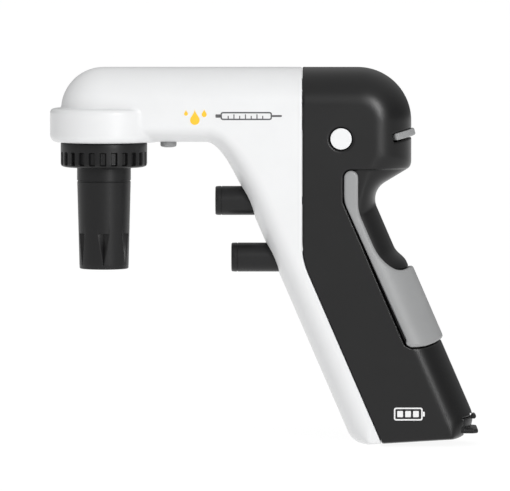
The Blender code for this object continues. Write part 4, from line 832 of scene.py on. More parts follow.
# ------------------------------------------------------------------ housing
@dataclass
class Outline:
    """Side outline of the housing, paired with the points where the flat sides start."""

    head_top: float = 158.0
    head_under: float = 126.5
    dome: float = 18.0
    head_back: float = 129.0
    top_corner: float = 22.5
    heel: float = 4.0
    flank: float = 31.0
    saddle: float = 8.0
    saddle_front: float = 114.0
    tilt: float = 23.4
    front: float = 95.9
    back: float = 147.1
    neck_back: float = 144.7
    neck_end: float = 82.7
    flare_end: float = 76.2
    slope: float = 3.4
    base_low_x: float = 112.0
    crown: float = 0.35
    toe: float = 8.5
    base_back: float = 9.0
    under_end: float = 43.0
    under_bend: Point = (47.8, 53.5)
    bend_height: float = 117.0
    bend_end: float = 104.0
    head_round: float = 16.0
    under_round: float = 7.5
    front_round: float = 9.5
    back_round: float = 13.0
    neck_round: float = 10.7
    base_round: float = 1.5
    detail: int = 6

    def __post_init__(self) -> None:
        """Work out the handle's and the base's directions."""
        self.normal = polar((0, 0), 1, self.tilt)
        self.up = polar((0, 0), 1, 90 + self.slope)

    def tilted(self, distance: float, height: float) -> Point:
        """Return the point at a distance along the handle's normal and a height."""
        return ((distance - self.normal[1] * height) / self.normal[0], height)

    def base_corner(self, line: float, radius: float, inward: float) -> Point:
        """Return the centre of the arc between the base and the handle's front or back line.

        Args:
            line: The line's distance along the normal.
            radius: The arc's radius.
            inward: 1 or -1, towards the inside.

        Returns:
            The arc's centre.
        """
        rise = math.tan(math.radians(self.slope))
        wanted = line + inward * radius
        lift = (radius - self.crown) / self.up[1]
        x = (
            wanted - self.normal[1] * (lift - self.base_low_x * rise)
        ) / (self.normal[0] + self.normal[1] * rise)
        return (x, (x - self.base_low_x) * rise + lift)

    def rear_corner(self) -> Point:
        """Return the centre of the base's rear corner."""
        return self.base_corner(self.back, self.base_back, -1)

    def saddle_centre(self) -> Point:
        """Return the centre of the hollow for the web of the thumb."""
        x = self.saddle_front + self.saddle
        return (x, (self.neck_back + self.saddle - self.normal[0] * x) / self.normal[1])

    def pairs(self) -> list[tuple[Point, Point]]:
        """Return (outline point, matching point where the flat side starts), clockwise.

        Returns:
            The pairs, once round the outline.
        """
        n = self.detail
        normal, up, tilt = self.normal, self.up, self.tilt
        back = (-normal[0], -normal[1])
        out: list[tuple[Point, Point]] = []

        def add(points: list[Point], targets: list[Point]) -> None:
            """Append pairs, leaving out repeated points.

            Args:
                points: Outline points.
                targets: Their matching points.
            """
            for point, target in zip(points, targets):
                if not out or (Vector(out[-1][0]) - Vector(point)).length > 0.01:
                    out.append((point, target))

        dome = (0, self.head_top - self.dome)
        add(arc(dome, self.dome, 180, 90, 5 * n), arc(dome, self.dome - self.head_round, 180, 90, 5 * n))
        corner = (self.head_back - self.top_corner, self.head_top - self.top_corner)
        left = self.top_corner - self.head_round
        add(arc(corner, self.top_corner, 90, 0, 5 * n), arc(corner, left, 90, 0, 5 * n))
        saddle = self.saddle_centre()
        slope = math.radians(self.flank)
        heel_x = self.head_back - self.heel
        heel = (
            heel_x,
            saddle[1] + (self.heel + self.saddle + (heel_x - saddle[0]) * math.sin(slope)) / math.cos(slope),
        )
        inner = (self.head_back - self.head_round, heel[1] + 5.4)
        points = arc(heel, self.heel, 0, self.flank - 90, 3 * n)
        add(points, spread(inner, (inner[0], inner[1] - 2), len(points)))
        points = arc(
            saddle, self.saddle, 90 + self.flank, 180, 3 * n
        ) + arc(saddle, self.saddle, 180, 180 + tilt, 2 * n)[1:]
        add(
            points,
            spread(
                shifted(points[0], (-0.9, 0.43), 9.2), shifted(points[-1], back, self.neck_round), len(points)
            ),
        )
        low, far = self.tilted(self.neck_back, self.neck_end), self.tilted(self.back, self.flare_end)
        drop = (self.neck_end - self.flare_end) / 2
        along = (normal[1], -normal[0])
        flare = bezier(low, shifted(low, along, drop), shifted(far, along, -drop), far, 3 * n)
        add(
            flare,
            spread(shifted(low, back, self.neck_round), shifted(far, back, self.back_round), len(flare)),
        )
        rear = self.rear_corner()
        points = arc(rear, self.base_back, tilt, self.slope - 90, 6 * n)
        add(
            points,
            spread(
                shifted(points[0], back, self.back_round),
                shifted(points[-1], up, self.base_round),
                len(points),
            ),
        )
        toe = self.base_corner(self.front, self.toe, 1)
        points = arc(toe, self.toe, self.slope - 90, tilt - 180, 4 * n)
        end = shifted(points[-1], normal, self.front_round)
        add(points, spread(shifted(points[0], up, self.base_round), end, len(points)))
        end = self.tilted(self.front, self.bend_end)
        steps = 6 * n
        pulls = ((self.under_bend[1], self.bend_height), (self.under_bend[0], self.head_under))
        points = bezier(end, *pulls, (self.under_end, self.head_under), steps)
        targets = []
        for i, point in enumerate(points):
            depth = self.front_round + (self.under_round - self.front_round) * i / steps
            targets.append(shifted(point, polar((0, 0), 1, tilt + (90 - tilt) * i / steps), depth))
        add(points, targets)
        points = arc((6 - self.dome, self.head_under + 6), 6, 270, 180, 2 * n)
        inner_x = self.head_round - self.dome
        low_target = (inner_x, self.head_under + self.under_round)
        add(points, spread(low_target, (inner_x, self.head_under + 9.5), len(points)))
        return out

    def share(self, grid: Grid, inset: float) -> np.ndarray:
        """Return how far each side-view point is from the flat side: 1 at the outline, 0 inside.

        Args:
            grid: The grid whose side view is filled.
            inset: How far the outline is drawn in.

        Returns:
            The share, above 1 outside the outline.
        """
        pairs = self.pairs()
        points = np.array([p for p, _ in pairs])
        targets = np.array([t for _, t in pairs])
        ahead, behind = np.roll(points, -1, 0), np.roll(points, 1, 0)
        along = ahead - behind
        along /= np.linalg.norm(along, axis=1, keepdims=True)
        points = points + np.stack([along[:, 1], -along[:, 0]], 1) * inset
        reach = targets - points
        length = np.linalg.norm(reach, axis=1, keepdims=True)
        least = max(inset, 0) * 0.4 + 0.8
        targets = np.where(length > least, targets, points + reach / np.maximum(length, 1e-9) * least)
        closed = np.concatenate([points, points[:1]]), np.concatenate([targets, targets[:1]])
        lengths = np.linalg.norm(np.diff(closed[0], axis=0), axis=1)
        where = np.concatenate([[0], np.cumsum(lengths)])
        dense = np.arange(0, where[-1], grid.step * 0.5)
        p, q = (np.stack([np.interp(dense, where, c[:, k]) for k in (0, 1)], 1) for c in closed)
        total = np.zeros(grid.side_x.shape)
        weight = np.zeros(grid.side_x.shape)
        for value in np.linspace(-0.55, 1.0, 190):
            place = (p + (q - p) * value - np.array([grid.low[0], grid.low[2]])) / grid.step
            base = np.floor(place).astype(int)
            part = place - base
            for i in (0, 1):
                for k in (0, 1):
                    cell = base + [i, k]
                    good = ((cell >= 0) & (cell < total.shape)).all(1)
                    w = (np.abs(1 - i - part[:, 0]) * np.abs(1 - k - part[:, 1]))[good]
                    np.add.at(weight, tuple(cell[good].T), w)
                    np.add.at(total, tuple(cell[good].T), w * (1 - value))
        known = weight > 1e-3
        inside = polygon_field([tuple(t) for t in targets[::2]], grid.side_x, grid.side_z) < 0
        values = np.where(known, total / np.maximum(weight, 1e-9), 0.0)
        values = np.where(inside & ~known, 0.0, values)
        known |= inside
        for _ in range(400):
            if known.all():
                break
            soft, amount = values * known, known.astype(float)
            total, count = np.zeros_like(values), np.zeros_like(values)
            for axis in (0, 1):
                for step in (-1, 1):
                    total += np.roll(soft, step, axis)
                    count += np.roll(amount, step, axis)
            fresh = ~known & (count > 0)
            values[fresh] = total[fresh] / count[fresh] + 0.03
            known |= fresh
        return np.maximum(blurred(values, 0.9), 0.0)


@dataclass
class Solid:
    """The housing's outer form as a distance field, and the cuts that its neighbours need."""

    outline: Outline
    step: float
    half_width: float = 17.0
    wall: float = 2.2
    gap: float = 0.3
    skirt_radius: float = 22.6
    skirt_top: float = 140.7
    stand_inside: float = 14.5
    edge: float = 0.3
    seam_x: float = 83.2
    seam_bend: float = 77.8
    seam_radius: float = 30.0
    pivot: Point = (103.5, 112.2)
    arm: float = 2.95
    cheek: float = 14.3
    stand_top: float = 74.8
    stand_low: float = 41.2
    ledge: float = 115.5
    clearance: float = 0.35

    def __post_init__(self) -> None:
        """Lay out the grid over one half and fill in the outer form."""
        self.grid = Grid((-25.0, -1.5, -2.0), (158.5, 24.5, 160.5), self.step)
        self.shares = {inset: self.outline.share(self.grid, inset) for inset in (0.0, -1.5, 1.35, -0.25)}
        body = self.form(0.0, self.half_width)
        self.body = smooth_min(body, self.skirt(), 1.2)
        rise = math.tan(math.radians(self.outline.slope))
        foot = self.grid.across(
            ((self.grid.side_x - self.outline.base_low_x) * rise - self.grid.side_z) * self.outline.up[1]
        )
        self.body = smooth_max(self.body, foot, 0.5)

    def form(self, inset: float, half_width: float) -> np.ndarray:
        """Return the rounded form drawn in by an inset, with a half width, as a distance."""
        share = self.grid.across(self.shares[inset])
        return self.grid.as_distance(np.sqrt(share**2 + (self.grid.y / half_width) ** 2) - 1)

    def skirt(self) -> np.ndarray:
        """Return the round skirt over the collar nut.

        Returns:
            The distance to it, negative inside.
        """
        g = self.grid
        middle = (self.skirt_top + self.outline.head_under) / 2
        half = (self.skirt_top - self.outline.head_under) / 2
        rim = np.where(g.z > middle, 1.9, 3.0)
        radial = np.sqrt(g.x**2 + g.y**2) - self.skirt_radius + rim
        level = np.abs(g.z - middle) - half + rim
        outside = np.sqrt(np.maximum(radial, 0) ** 2 + np.maximum(level, 0) ** 2)
        return outside + np.minimum(np.maximum(radial, level), 0) - rim

    def side(self, points: Sequence[Point]) -> np.ndarray:
        """Return the distance to a side-view outline across the grid."""
        return self.grid.across(polygon_field(points, self.grid.side_x, self.grid.side_z))

    def bar(self, x: float, z: float, radius: float) -> np.ndarray:
        """Return the distance to a round bar across the housing."""
        return self.grid.across(np.hypot(self.grid.side_x - x, self.grid.side_z - z) - radius)

    def stand_edge(self, distance: float, height: float) -> Point:
        """Return the point at a distance in from the handle's back line and a height."""
        return self.outline.tilted(self.outline.back - distance, height)

    def stand_bend(self, margin: float) -> Point:
        """Return where an arm's upright front edge meets the cheek's sloping one.

        Args:
            margin: How far the outline is drawn outwards.

        Returns:
            The point.
        """
        x = self.pivot[0] - self.arm - margin
        normal = self.outline.normal
        return (x, (self.outline.back - self.cheek - margin - normal[0] * x) / normal[1])

    def low_edge(self, margin: float) -> list[Point]:
        """Return the convex lower edge of the stand, from back to front.

        Args:
            margin: How far the outline is drawn outwards.

        Returns:
            The edge's points.
        """
        low = self.stand_low - margin
        ends = [(-8, 6.6), (-0.3, 2.9), (3.2, 1.5), (6.9, 0.4), (10, 0.05), (self.cheek - 1.5, 0)]
        return [self.stand_edge(d, low + h) for d, h in ends] + [
            self.stand_edge(self.cheek + margin, low + 1.2)
        ]

    def pocket(self, margin: float) -> list[Point]:
        """Return the side view of the hollow that the stand's arms swing in.

        Args:
            margin: How far the outline is drawn outwards.

        Returns:
            The hollow's outline.
        """
        ledge = self.ledge + margin - self.clearance
        far = self.outline.head_back + 25
        start = self.stand_bend(margin)
        points = arc(self.pivot, ledge - self.pivot[1], 180, 90, 14)
        points = [(max(x, start[0]), z) for x, z in points]
        return points + [(far, ledge)] + self.low_edge(margin) + [start]

    def plate(self, margin: float) -> list[Point]:
        """Return the side view of the deeper hollow under the stand's plate.

        Args:
            margin: How far the outline is drawn outwards.

        Returns:
            The hollow's outline.
        """
        top = self.stand_top + margin
        line = [(self.cheek + margin, top - 1.6), (2.6, top - 1.6), (-1.7, top), (-8, top + 2.6)]
        return [self.stand_edge(d, h) for d, h in line] + self.low_edge(margin)

    def seam(self) -> np.ndarray:
        """Return the distance behind the seam between the front and rear shells.

        Returns:
            The distance, negative in front of the seam.
        """
        tilt = self.outline.tilt
        reach = self.seam_radius * math.tan(math.radians(tilt / 2))
        centre = (self.seam_x + self.seam_radius, self.seam_bend + reach)
        bend = arc(centre, self.seam_radius, 180, 180 + tilt, 12)
        low = shifted(bend[-1], polar((0, 0), 1, tilt - 90), 140)
        line = [(self.seam_x, 190), *bend, low]
        return self.grid.across(line_field(line, self.grid.side_x, self.grid.side_z))


@dataclass
class Housing:
    """The four shells, carved from one solid, with the white discs over the screws."""

    shop: Workshop
    solid: Solid
    triggers: tuple[Point, Point] = ((46.7, 101.9), (53.4, 78.1))
    trigger_bore: float = 6.4
    socket_bore: float = 13.3
    mode_x: float = 27.1
    mode_bore: float = 3.7
    cap: Point = (99.3, 128.4)
    cap_radius: float = 4.45
    lever_pivot: Point = (113.5, 126.9)
    lever_lean: float = 14.0
    slot_angle: float = 61.5
    flap_width: float = 12.8
    port_angle: float = -20.0
    port_half: Point = (6.3, 4.5)

    def sector(self, grid: Grid, inner: float, outer: float, start: float, end: float) -> np.ndarray:
        """Return the distance to a ring sector around the base's rear corner."""
        centre = self.solid.outline.rear_corner()
        return grid.across(
            polygon_field(
                arc(centre, outer, start, end, 16) + arc(centre, inner, end, start, 16),
                grid.side_x,
                grid.side_z,
            )
        )

    def outside(self) -> np.ndarray:
        """Return the outer form with the stand's hollows and the flap's recess sunk in it.

        Returns:
            The field of the outer form.
        """
        s = self.solid
        floor = s.form(0.0, s.stand_inside - s.gap)
        values = smooth_max(s.body, smooth_min(-s.side(s.pocket(s.clearance)), floor, 0.5), 0.55)
        values = smooth_max(values, smooth_min(-s.side(s.plate(s.clearance)), floor + 1.7, 0.4), 0.4)
        recess = smooth_max(self.sector(s.grid, 3, 17, -52, 7), np.abs(s.grid.y) - self.flap_width, 0.3)
        return smooth_max(values, smooth_min(-recess, s.body + 1.7, 0.3), 0.3)

    def openings(self) -> np.ndarray:
        """Return everything bored through the walls, negative inside the bores.

        Returns:
            The field of all bores together.
        """
        s, g = self.solid, self.solid.grid
        under = s.outline.head_under
        low = g.z - under - 6
        cuts = np.maximum(np.hypot(g.x, g.y) - self.socket_bore, low)
        cuts = np.minimum(cuts, np.maximum(np.hypot(g.x - self.mode_x, g.y) - self.mode_bore, low))
        for x, z in self.triggers:
            bore = np.maximum(np.hypot(g.y, g.z - z) - self.trigger_bore, np.abs(g.x - x - 16) - 16)
            cuts = np.minimum(cuts, bore)
        flare = self.cap_radius + s.gap + np.maximum(g.y - s.half_width + 0.8, 0) * 0.72
        seat = (g.across(np.hypot(g.side_x - self.cap[0], g.side_z - self.cap[1])) - flare) * 0.85
        cuts = np.minimum(cuts, np.maximum(seat, s.half_width - 1.3 - g.y))
        lean = math.radians(self.lever_lean)
        dx, dz = g.x - self.lever_pivot[0], g.z - self.lever_pivot[1]
        along = dx * math.cos(lean) + dz * math.sin(lean)
        above = dz * math.cos(lean) - dx * math.sin(lean)
        radius = np.hypot(along, g.y)
        turn = (np.abs(np.arctan2(g.y, along)) - math.radians(self.slot_angle)) * radius
        slot = np.maximum(np.maximum(10.5 - radius, turn), np.abs(above + 0.25) - 1.8)
        cuts = np.minimum(cuts, slot)
        corner, port = s.outline.rear_corner(), math.radians(self.port_angle)
        dx, dz = g.x - corner[0], g.z - corner[1]
        out = dx * math.cos(port) + dz * math.sin(port)
        across = dz * math.cos(port) - dx * math.sin(port)
        mouth = np.maximum(np.abs(g.y) - self.port_half[0], np.abs(across) - self.port_half[1])
        cuts = np.minimum(cuts, np.maximum(mouth, np.abs(out - 8) - 5.5))
        hinge = polar(corner, s.outline.base_back + 0.45, 4)
        return np.minimum(cuts, np.maximum(s.bar(*hinge, 1.3), np.abs(g.y) - 4.8))

    def piece(self, values: np.ndarray, low_x: float, high_x: float) -> Carver:
        """Return a carver for the part of the field between two X limits.

        Args:
            values: The whole field.
            low_x: The front limit.
            high_x: The rear limit.

        Returns:
            The carver.
        """
        g = self.solid.grid
        first, last = int((low_x - g.low[0]) / g.step), int((high_x - g.low[0]) / g.step)
        part = Grid(
            (g.axes[0][first], g.low[1], g.low[2]),
            (g.axes[0][min(last, len(g.axes[0]) - 1)], g.high[1], g.high[2]),
            g.step,
        )
        return Carver(part, values[first : first + len(part.axes[0])])

    def build(self) -> None:
        """Carve and dress the four shells, and lay the discs in their seats."""
        s, g = self.solid, self.solid.grid
        outside = self.outside()
        values = smooth_max(outside, -(outside + s.wall), 0.2)
        values = smooth_max(values, -self.openings(), s.edge)
        values = smooth_max(values, s.gap / 2 - g.y, s.edge)
        seam = s.seam()
        front = self.piece(smooth_max(values, seam + s.gap / 2, s.edge), g.low[0], 125)
        rear = self.piece(smooth_max(values, s.gap / 2 - seam, s.edge), 80, g.high[0])
        for carver, name, slot in (
            (front, "front_shell", "white_plastic"), (rear, "rear_shell", "black_plastic")
        ):
            for side in ("left", "right"):
                shell = carver.mesh(f"{name}_{side}_skin", self.shop.world, side == "left")
                self.shop.keep(shell, "housing", slot, [f"{name}_{side}"])
        r = self.cap_radius
        profile = rounded([(0, 1.0), (r - 0.9, 1.0), (r, 0.92), (r, 0), (0, 0)], [0, 0.5, 0.25, 0.1, 0])
        for side, name in ((-1, "left"), (1, "right")):
            disc = lathe(f"screw_disc_{name}", profile, 72)
            turn = Matrix.Rotation(math.radians(-90 * side), 4, "X")
            move(disc, self.shop.at(self.cap[0], side * (s.half_width - 1.05), self.cap[1]) @ turn)
            self.shop.keep(disc, "housing", "white_plastic", [f"screw_cap_{name}"])


@dataclass
class Stand:
    """The fold-out bench stand: two arms and cheeks joined by a plate behind the handle."""

    shop: Workshop
    solid: Solid
    proud: float = 0.4
    arm_back: float = 10.4

    def outline(self) -> list[Point]:
        """Return the stand's side view.

        Returns:
            The outline's points.
        """
        s = self.solid
        top = s.stand_top
        right = s.pivot[0] + s.arm
        edge = [
            (self.arm_back, 21.2),
            (self.arm_back, 8.5),
            (9.9, 4.6),
            (8.3, 1.2),
            (5.8, -1.3),
            (2.6, -1.6),
            (-1.7, 0),
            (-8, 2.6),
        ]
        inner = [(right, s.pivot[1] - 4), (right, top + 24.7), *(s.stand_edge(d, top + h) for d, h in edge)]
        bend = s.stand_bend(0)
        front = rounded([s.stand_edge(s.cheek - 1.0, s.stand_low + 3), bend, (bend[0], s.pivot[1])], 3.0)
        low = s.low_edge(0)
        low = low[:-2] + rounded([low[-2], low[-1], front[0]], 0.8)
        return arc(s.pivot, s.arm, 180, 0, 24) + rounded(inner, 9.0, 6) + low + front

    def build(self) -> None:
        """Carve and dress the stand."""
        s, g = self.solid, self.solid.grid
        values = smooth_max(s.side(self.outline()), s.form(-1.5, s.half_width + self.proud), 1.1)
        line = [(s.cheek + s.clearance, -1.6), (2.6, -1.6), (-1.7, 0), (-8, 2.6)]
        points = [s.stand_edge(d, s.stand_top + s.clearance + h) for d, h in line]
        above = [(84.0, points[0][1]), *points, (170.0, points[-1][1]), (170.0, 158.0), (84.0, 158.0)]
        arms = np.maximum(s.form(-0.25, s.stand_inside), s.side(above))
        inner = np.minimum(s.form(1.35, s.stand_inside), arms)
        values = smooth_max(values, -inner, 0.5)
        first, middle = int((96 - g.low[0]) / g.step), int(round(-g.low[1] / g.step))
        half = values[first:, middle:]
        whole = np.concatenate([half[:, :0:-1], half], axis=1)
        reach = (half.shape[1] - 1) * g.step
        part = Grid((g.axes[0][first], -reach, g.low[2]), (g.high[0], reach, g.high[2]), g.step)
        part.axes[1] = -reach + np.arange(whole.shape[1]) * g.step
        obj = Carver(part, whole).mesh("stand_skin", self.shop.world)
        self.shop.keep(obj, "stand", "grey_plastic", ["bench_stand"])


@dataclass
class ChargingFlap:
    """The hinged flap over the charging socket, with its pull lip and gripping ridges."""

    shop: Workshop
    outline: Outline
    step: float
    housing_half: float = 17.0
    half_width: float = 12.5
    thick: float = 1.4
    start: float = -50.0
    end: float = 4.0
    barrel: float = 1.0
    barrel_half: float = 4.5
    lip: float = 3.6
    lip_drop: float = 5.0
    lip_half: float = 12.0
    lip_back: float = 7.4
    ridge_pitch: float = 1.15
    ridge_depth: float = 0.16

    def build(self) -> None:
        """Carve and dress the flap."""
        corner, radius = self.outline.rear_corner(), self.outline.base_back
        g = Grid((140.0, -14.0, 1.0), (159.5, 14.0, 15.0), self.step)
        share = g.across(self.outline.share(g, 0.0))
        body = g.as_distance(np.sqrt(share**2 + (g.y / self.housing_half) ** 2) - 1)
        angle = np.arctan2(g.z - corner[1], g.x - corner[0])
        length = (math.radians(self.start) - angle) * radius
        ridges = ramp(angle, math.radians(-37), math.radians(-39)) * (
            0.5 - 0.5 * np.cos(length * 2 * math.pi / self.ridge_pitch)
        )
        fan = polygon_field(
            arc(corner, 12, self.start, self.end, 16) + arc(corner, 3, self.end, self.start, 16),
            g.side_x,
            g.side_z,
        )
        values = smooth_max(body + ridges * self.ridge_depth, g.across(fan), 0.4)
        values = smooth_max(values, np.abs(g.y) - self.half_width, 0.5)
        values = smooth_max(values, -(body + self.thick), 0.2)
        reach = math.sqrt(radius**2 - self.lip_drop**2)
        low_x, high_x = corner[0] + reach + self.lip - self.lip_back, corner[0] + reach + self.lip
        edge = 0.75
        corner_cut = np.maximum(
            np.abs(g.y) - self.lip_half + edge,
            (np.abs(g.y) + g.x - high_x - self.lip_half + 2.0) * 0.7071 + edge,
        )
        plan = np.maximum(corner_cut, np.abs(g.x - (low_x + high_x) / 2) - (high_x - low_x) / 2 + edge)
        level = np.abs(g.z - corner[1] + self.lip_drop) - 1.0 + edge
        bar = np.sqrt(
            np.maximum(plan, 0) ** 2 + np.maximum(level, 0) ** 2
        ) + np.minimum(np.maximum(plan, level), 0) - edge
        values = smooth_min(values, smooth_max(bar, -(body + self.thick), 0.2), 0.35)
        hinge = polar(corner, radius + 0.45, self.end)
        barrel = np.maximum(
            g.across(np.hypot(g.side_x - hinge[0], g.side_z - hinge[1])) - self.barrel,
            np.abs(g.y) - self.barrel_half,
        )
        values = smooth_min(values, barrel, 0.2)
        obj = Carver(g, values).mesh("flap_skin", self.shop.world)
        self.shop.keep(obj, "flap", "dark_plastic", ["port_flap"])


# ------------------------------------------------------------------ nose
@dataclass
class Nose:
    """The ribbed collar nut and the fluted nose cone that it holds."""

    shop: Workshop
    collar_radius: float = 18.15
    collar_low: float = 116.0
    band: float = 3.6
    ribs: int = 24
    rib_depth: float = 1.5
    thread: float = 13.3
    cone_top: float = 11.3
    cone_low: float = 10.3
    cone_bottom: float = 73.3
    cone_wall: float = 1.9
    ring_height: float = 110.1
    flutes: int = 6
    flute_top: float = 88.2
    flute_bottom: float = 74.8
    flute_half: float = 2.45
    flute_depth: float = 1.35

    def rib_swell(self, radius: float, height: float, angle: float) -> float:
        """Return how far the collar's side is sunk between two ribs.

        Args:
            radius: Distance from the axis.
            height: Height of the point.
            angle: Angle about the axis, in radians.

        Returns:
            The change of radius, zero or less.
        """
        if radius < self.collar_radius - 1.2:
            return 0.0
        share = (math.degrees(angle) / (360 / self.ribs) + 0.5) % 1.0
        off = abs(share - 0.5) * 2
        top = self.collar_top() - self.band
        rise = float(ramp(np.float64(height), top - 0.05, top - 0.35)) * float(
            ramp(np.float64(height), self.collar_low + 0.9, self.collar_low + 1.5)
        )
        return -self.rib_depth * float(ramp(np.float64(off), 0.56, 0.40)) * rise

    @staticmethod
    def collar_top() -> float:
        """Return the height of the collar nut's top."""
        return COLLAR_TOP

    def build_collar(self) -> None:
        """Lathe the collar nut with its ribs."""
        full, low, top = self.collar_radius, self.collar_low, self.collar_top()
        lip = low + 2.6
        flange = self.cone_top + 1.6 + 0.3
        side = [(full, z) for z in (top - 2, top - self.band + 0.3, top - self.band)]
        side += [(full, float(z)) for z in np.linspace(top - self.band - 0.1, low + 2.2, 14)]
        profile = [(self.thread, top), *rounded([(full - 1.5, top), (full, top), side[0]], 0.5), *side[1:-1]]
        profile += rounded(
            [side[-1], (full, low + 1.3), (full - 0.35, low + 0.5), (full - 1.7, low), (full - 3, low)],
            [0, 0.8, 0.6, 0.7, 0],
        )
        profile += rounded(
            [(self.cone_top + 1.2, low), (self.cone_top + 0.3, low), (self.cone_top + 0.3, low + 1)], 0.35
        )
        profile += [(self.cone_top + 0.3, lip), (flange, lip), (flange, lip + 2), (self.thread, lip + 2.5)]
        obj = lathe("collar_skin", profile, self.ribs * 24, self.rib_swell)
        move(obj, self.shop.at(0, 0, 0))
        self.shop.keep(obj, "collar", "dark_plastic", ["collar_nut"])

    def flute_swell(self, radius: float, height: float, angle: float) -> float:
        """Return how deep a flute is at a point on the cone's side.

        Args:
            radius: Distance from the axis.
            height: Height of the point.
            angle: Angle about the axis, in radians.

        Returns:
            The change of radius, zero or less.
        """
        if radius < self.cone_low - 0.35 or not self.flute_bottom < height <= self.flute_top:
            return 0.0
        share = (height - self.flute_bottom) / (self.flute_top - self.flute_bottom)
        pitch = 2 * math.pi / self.flutes
        off = abs((angle + math.pi / 2 + pitch / 2) % pitch - pitch / 2) * radius
        half = self.flute_half * share + 0.05
        return -self.flute_depth * min(1.0, share * 1.6 + 0.15) * max(0.0, 1 - off / half)

    def build_cone(self) -> None:
        """Lathe the nose cone with its ring groove, flutes and rounded mouth."""
        top, bottom, wide = self.cone_top, self.cone_bottom, self.cone_low
        lip = self.collar_low + 2.9
        ring = self.ring_height
        profile = [
            (top + 1.6, lip + 1.4), (top + 1.6, lip), (top, lip), (top, ring + 0.45), (top - 0.28, ring + 0.3)
        ]
        profile += [(top - 0.28, ring - 0.1), (top - 0.05, ring - 0.3)]
        span = ring - bottom
        heights = [
            *np.linspace(ring - 3, self.flute_top + 0.12, 6),
            *np.linspace(self.flute_top, self.flute_bottom, 40)
        ]
        profile += [(wide + (top - 0.05 - wide) * (float(z) - bottom) / span, float(z)) for z in heights]
        profile += rounded([(wide, bottom + 1.4), (wide, bottom), (wide - 1.6, bottom)], 1.1, 6)
        profile += rounded([(7.8, bottom), (6.6, bottom), (6.6, bottom + 2.0)], 0.5)
        inner = top - self.cone_wall
        profile += [(wide - self.cone_wall, bottom + 2.0), (inner, self.collar_low - 6.4), (inner, lip + 1.4)]
        obj = lathe("cone_skin", profile, 288, self.flute_swell)
        move(obj, self.shop.at(0, 0, 0))
        self.shop.keep(obj, "nose", "dark_plastic", ["nose_cone"])


# ------------------------------------------------------------------ controls
@dataclass
class Controls:
    """The two push triggers, the mode button and the speed lever."""

    shop: Workshop
    solid: Solid
    step: float
    trigger_radius: float = 6.1
    block_x: float = 88.6
    mode_radius: float = 3.4
    mode_out: float = 2.3
    lever_radius: float = 17.5
    lever_half: float = 1.3
    lever_from: float = -58.0
    lever_to: float = 24.0

    def build_trigger(self, name: str, body: str, place: Point) -> None:
        """Lathe one push trigger, lying along X with its face to the front.

        Args:
            name: The CAD node it stands for.
            body: The CAD body it rides on.
            place: The face's X and the axis's height.
        """
        r = self.trigger_radius
        face, height = place
        flange = self.solid.outline.tilted(self.solid.outline.front + 2.2, height - r - 0.9)[0] + 3.6 - face
        end = self.block_x + 4.0 - face
        profile = rounded(
            [(0, 0), (r - 1.9, 0.02), (r - 0.15, 0.12), (r, 1.3), (r, 2.35)], [0, 1.0, 0.75, 0.9, 0], 6
        )
        profile += rounded([(r, 2.4), (r - 0.16, 2.5), (r - 0.16, 2.75), (r, 2.85)], 0.05, 2)
        profile += [
            (r, flange), (r + 0.9, flange), (r + 0.9, flange + 1.6), (1.7, flange + 1.6), (1.7, end), (0, end)
        ]
        obj = lathe(f"{name}_skin", profile, 96)
        move(obj, self.shop.at(face, 0, height) @ Matrix.Rotation(math.radians(90), 4, "Y"))
        self.shop.keep(obj, body, "dark_plastic", [name])

    def build_mode(self, x: float) -> None:
        """Lathe the mode button, hanging from the head's underside.

        Args:
            x: The button's X.
        """
        under = self.solid.outline.head_under
        r, low, inside = self.mode_radius, under - self.mode_out, under + 2.5
        profile = [(0, inside + 1.1), (r + 0.9, inside + 1.1), (r + 0.9, inside), (r, inside)]
        profile += rounded(
            [(r, low + 1.6), (r - 0.05, low + 0.5), (r - 1.5, low + 0.05), (0, low)], [0, 0.55, 0.9, 0], 6
        )
        obj = lathe("mode_button_skin", profile, 72)
        move(obj, self.shop.at(x, 0, 0))
        self.shop.keep(obj, "mode", "mid_grey_plastic", ["mode_button"])

    def build_lever(self, pivot: Point, lean: float) -> None:
        """Carve the speed lever flat, then lean it into its slot.

        Args:
            pivot: X and Z of its axis.
            lean: The axis's lean, in degrees.
        """
        g = Grid((-6.0, -18.5, -3.0), (20.5, 9.5, 3.2), self.step)
        radius = np.hypot(g.x, g.y)
        angle = np.degrees(np.arctan2(g.y, g.x))
        turn = np.radians(np.maximum(angle - self.lever_to, self.lever_from - angle)) * radius
        rise = 0.055 * (radius - 17.0) + 0.2 * ramp(
            radius, self.lever_radius - 2.0, self.lever_radius - 1.2
        ) + 0 * g.z
        tongue = smooth_max(
            smooth_max(radius - self.lever_radius + 0 * g.z, np.minimum(turn, 40.0) + 0 * g.z, 1.2),
            np.abs(g.z) - self.lever_half - rise,
            0.7,
        )
        hub = smooth_max(radius - 4.4 + 0 * g.z, np.abs(g.z - 0.3) - self.lever_half - 0.3, 0.3)
        notches = 0.12 * (0.5 + 0.5 * np.cos(np.radians(angle) * 2 * math.pi / math.radians(4.2)))
        notches = notches * ramp(radius, self.lever_radius - 1.0, self.lever_radius - 0.2)
        values = smooth_max(smooth_min(tongue + notches, hub, 0.4), 1.55 - radius + 0 * g.z, 0.2)
        obj = Carver(g, values).mesh("speed_lever_skin", lambda points: points * MM)
        move(obj, self.shop.at(pivot[0], 0, pivot[1]) @ Matrix.Rotation(math.radians(-lean), 4, "Y"))
        self.shop.keep(obj, "lever", "grey_plastic", ["speed_lever"])


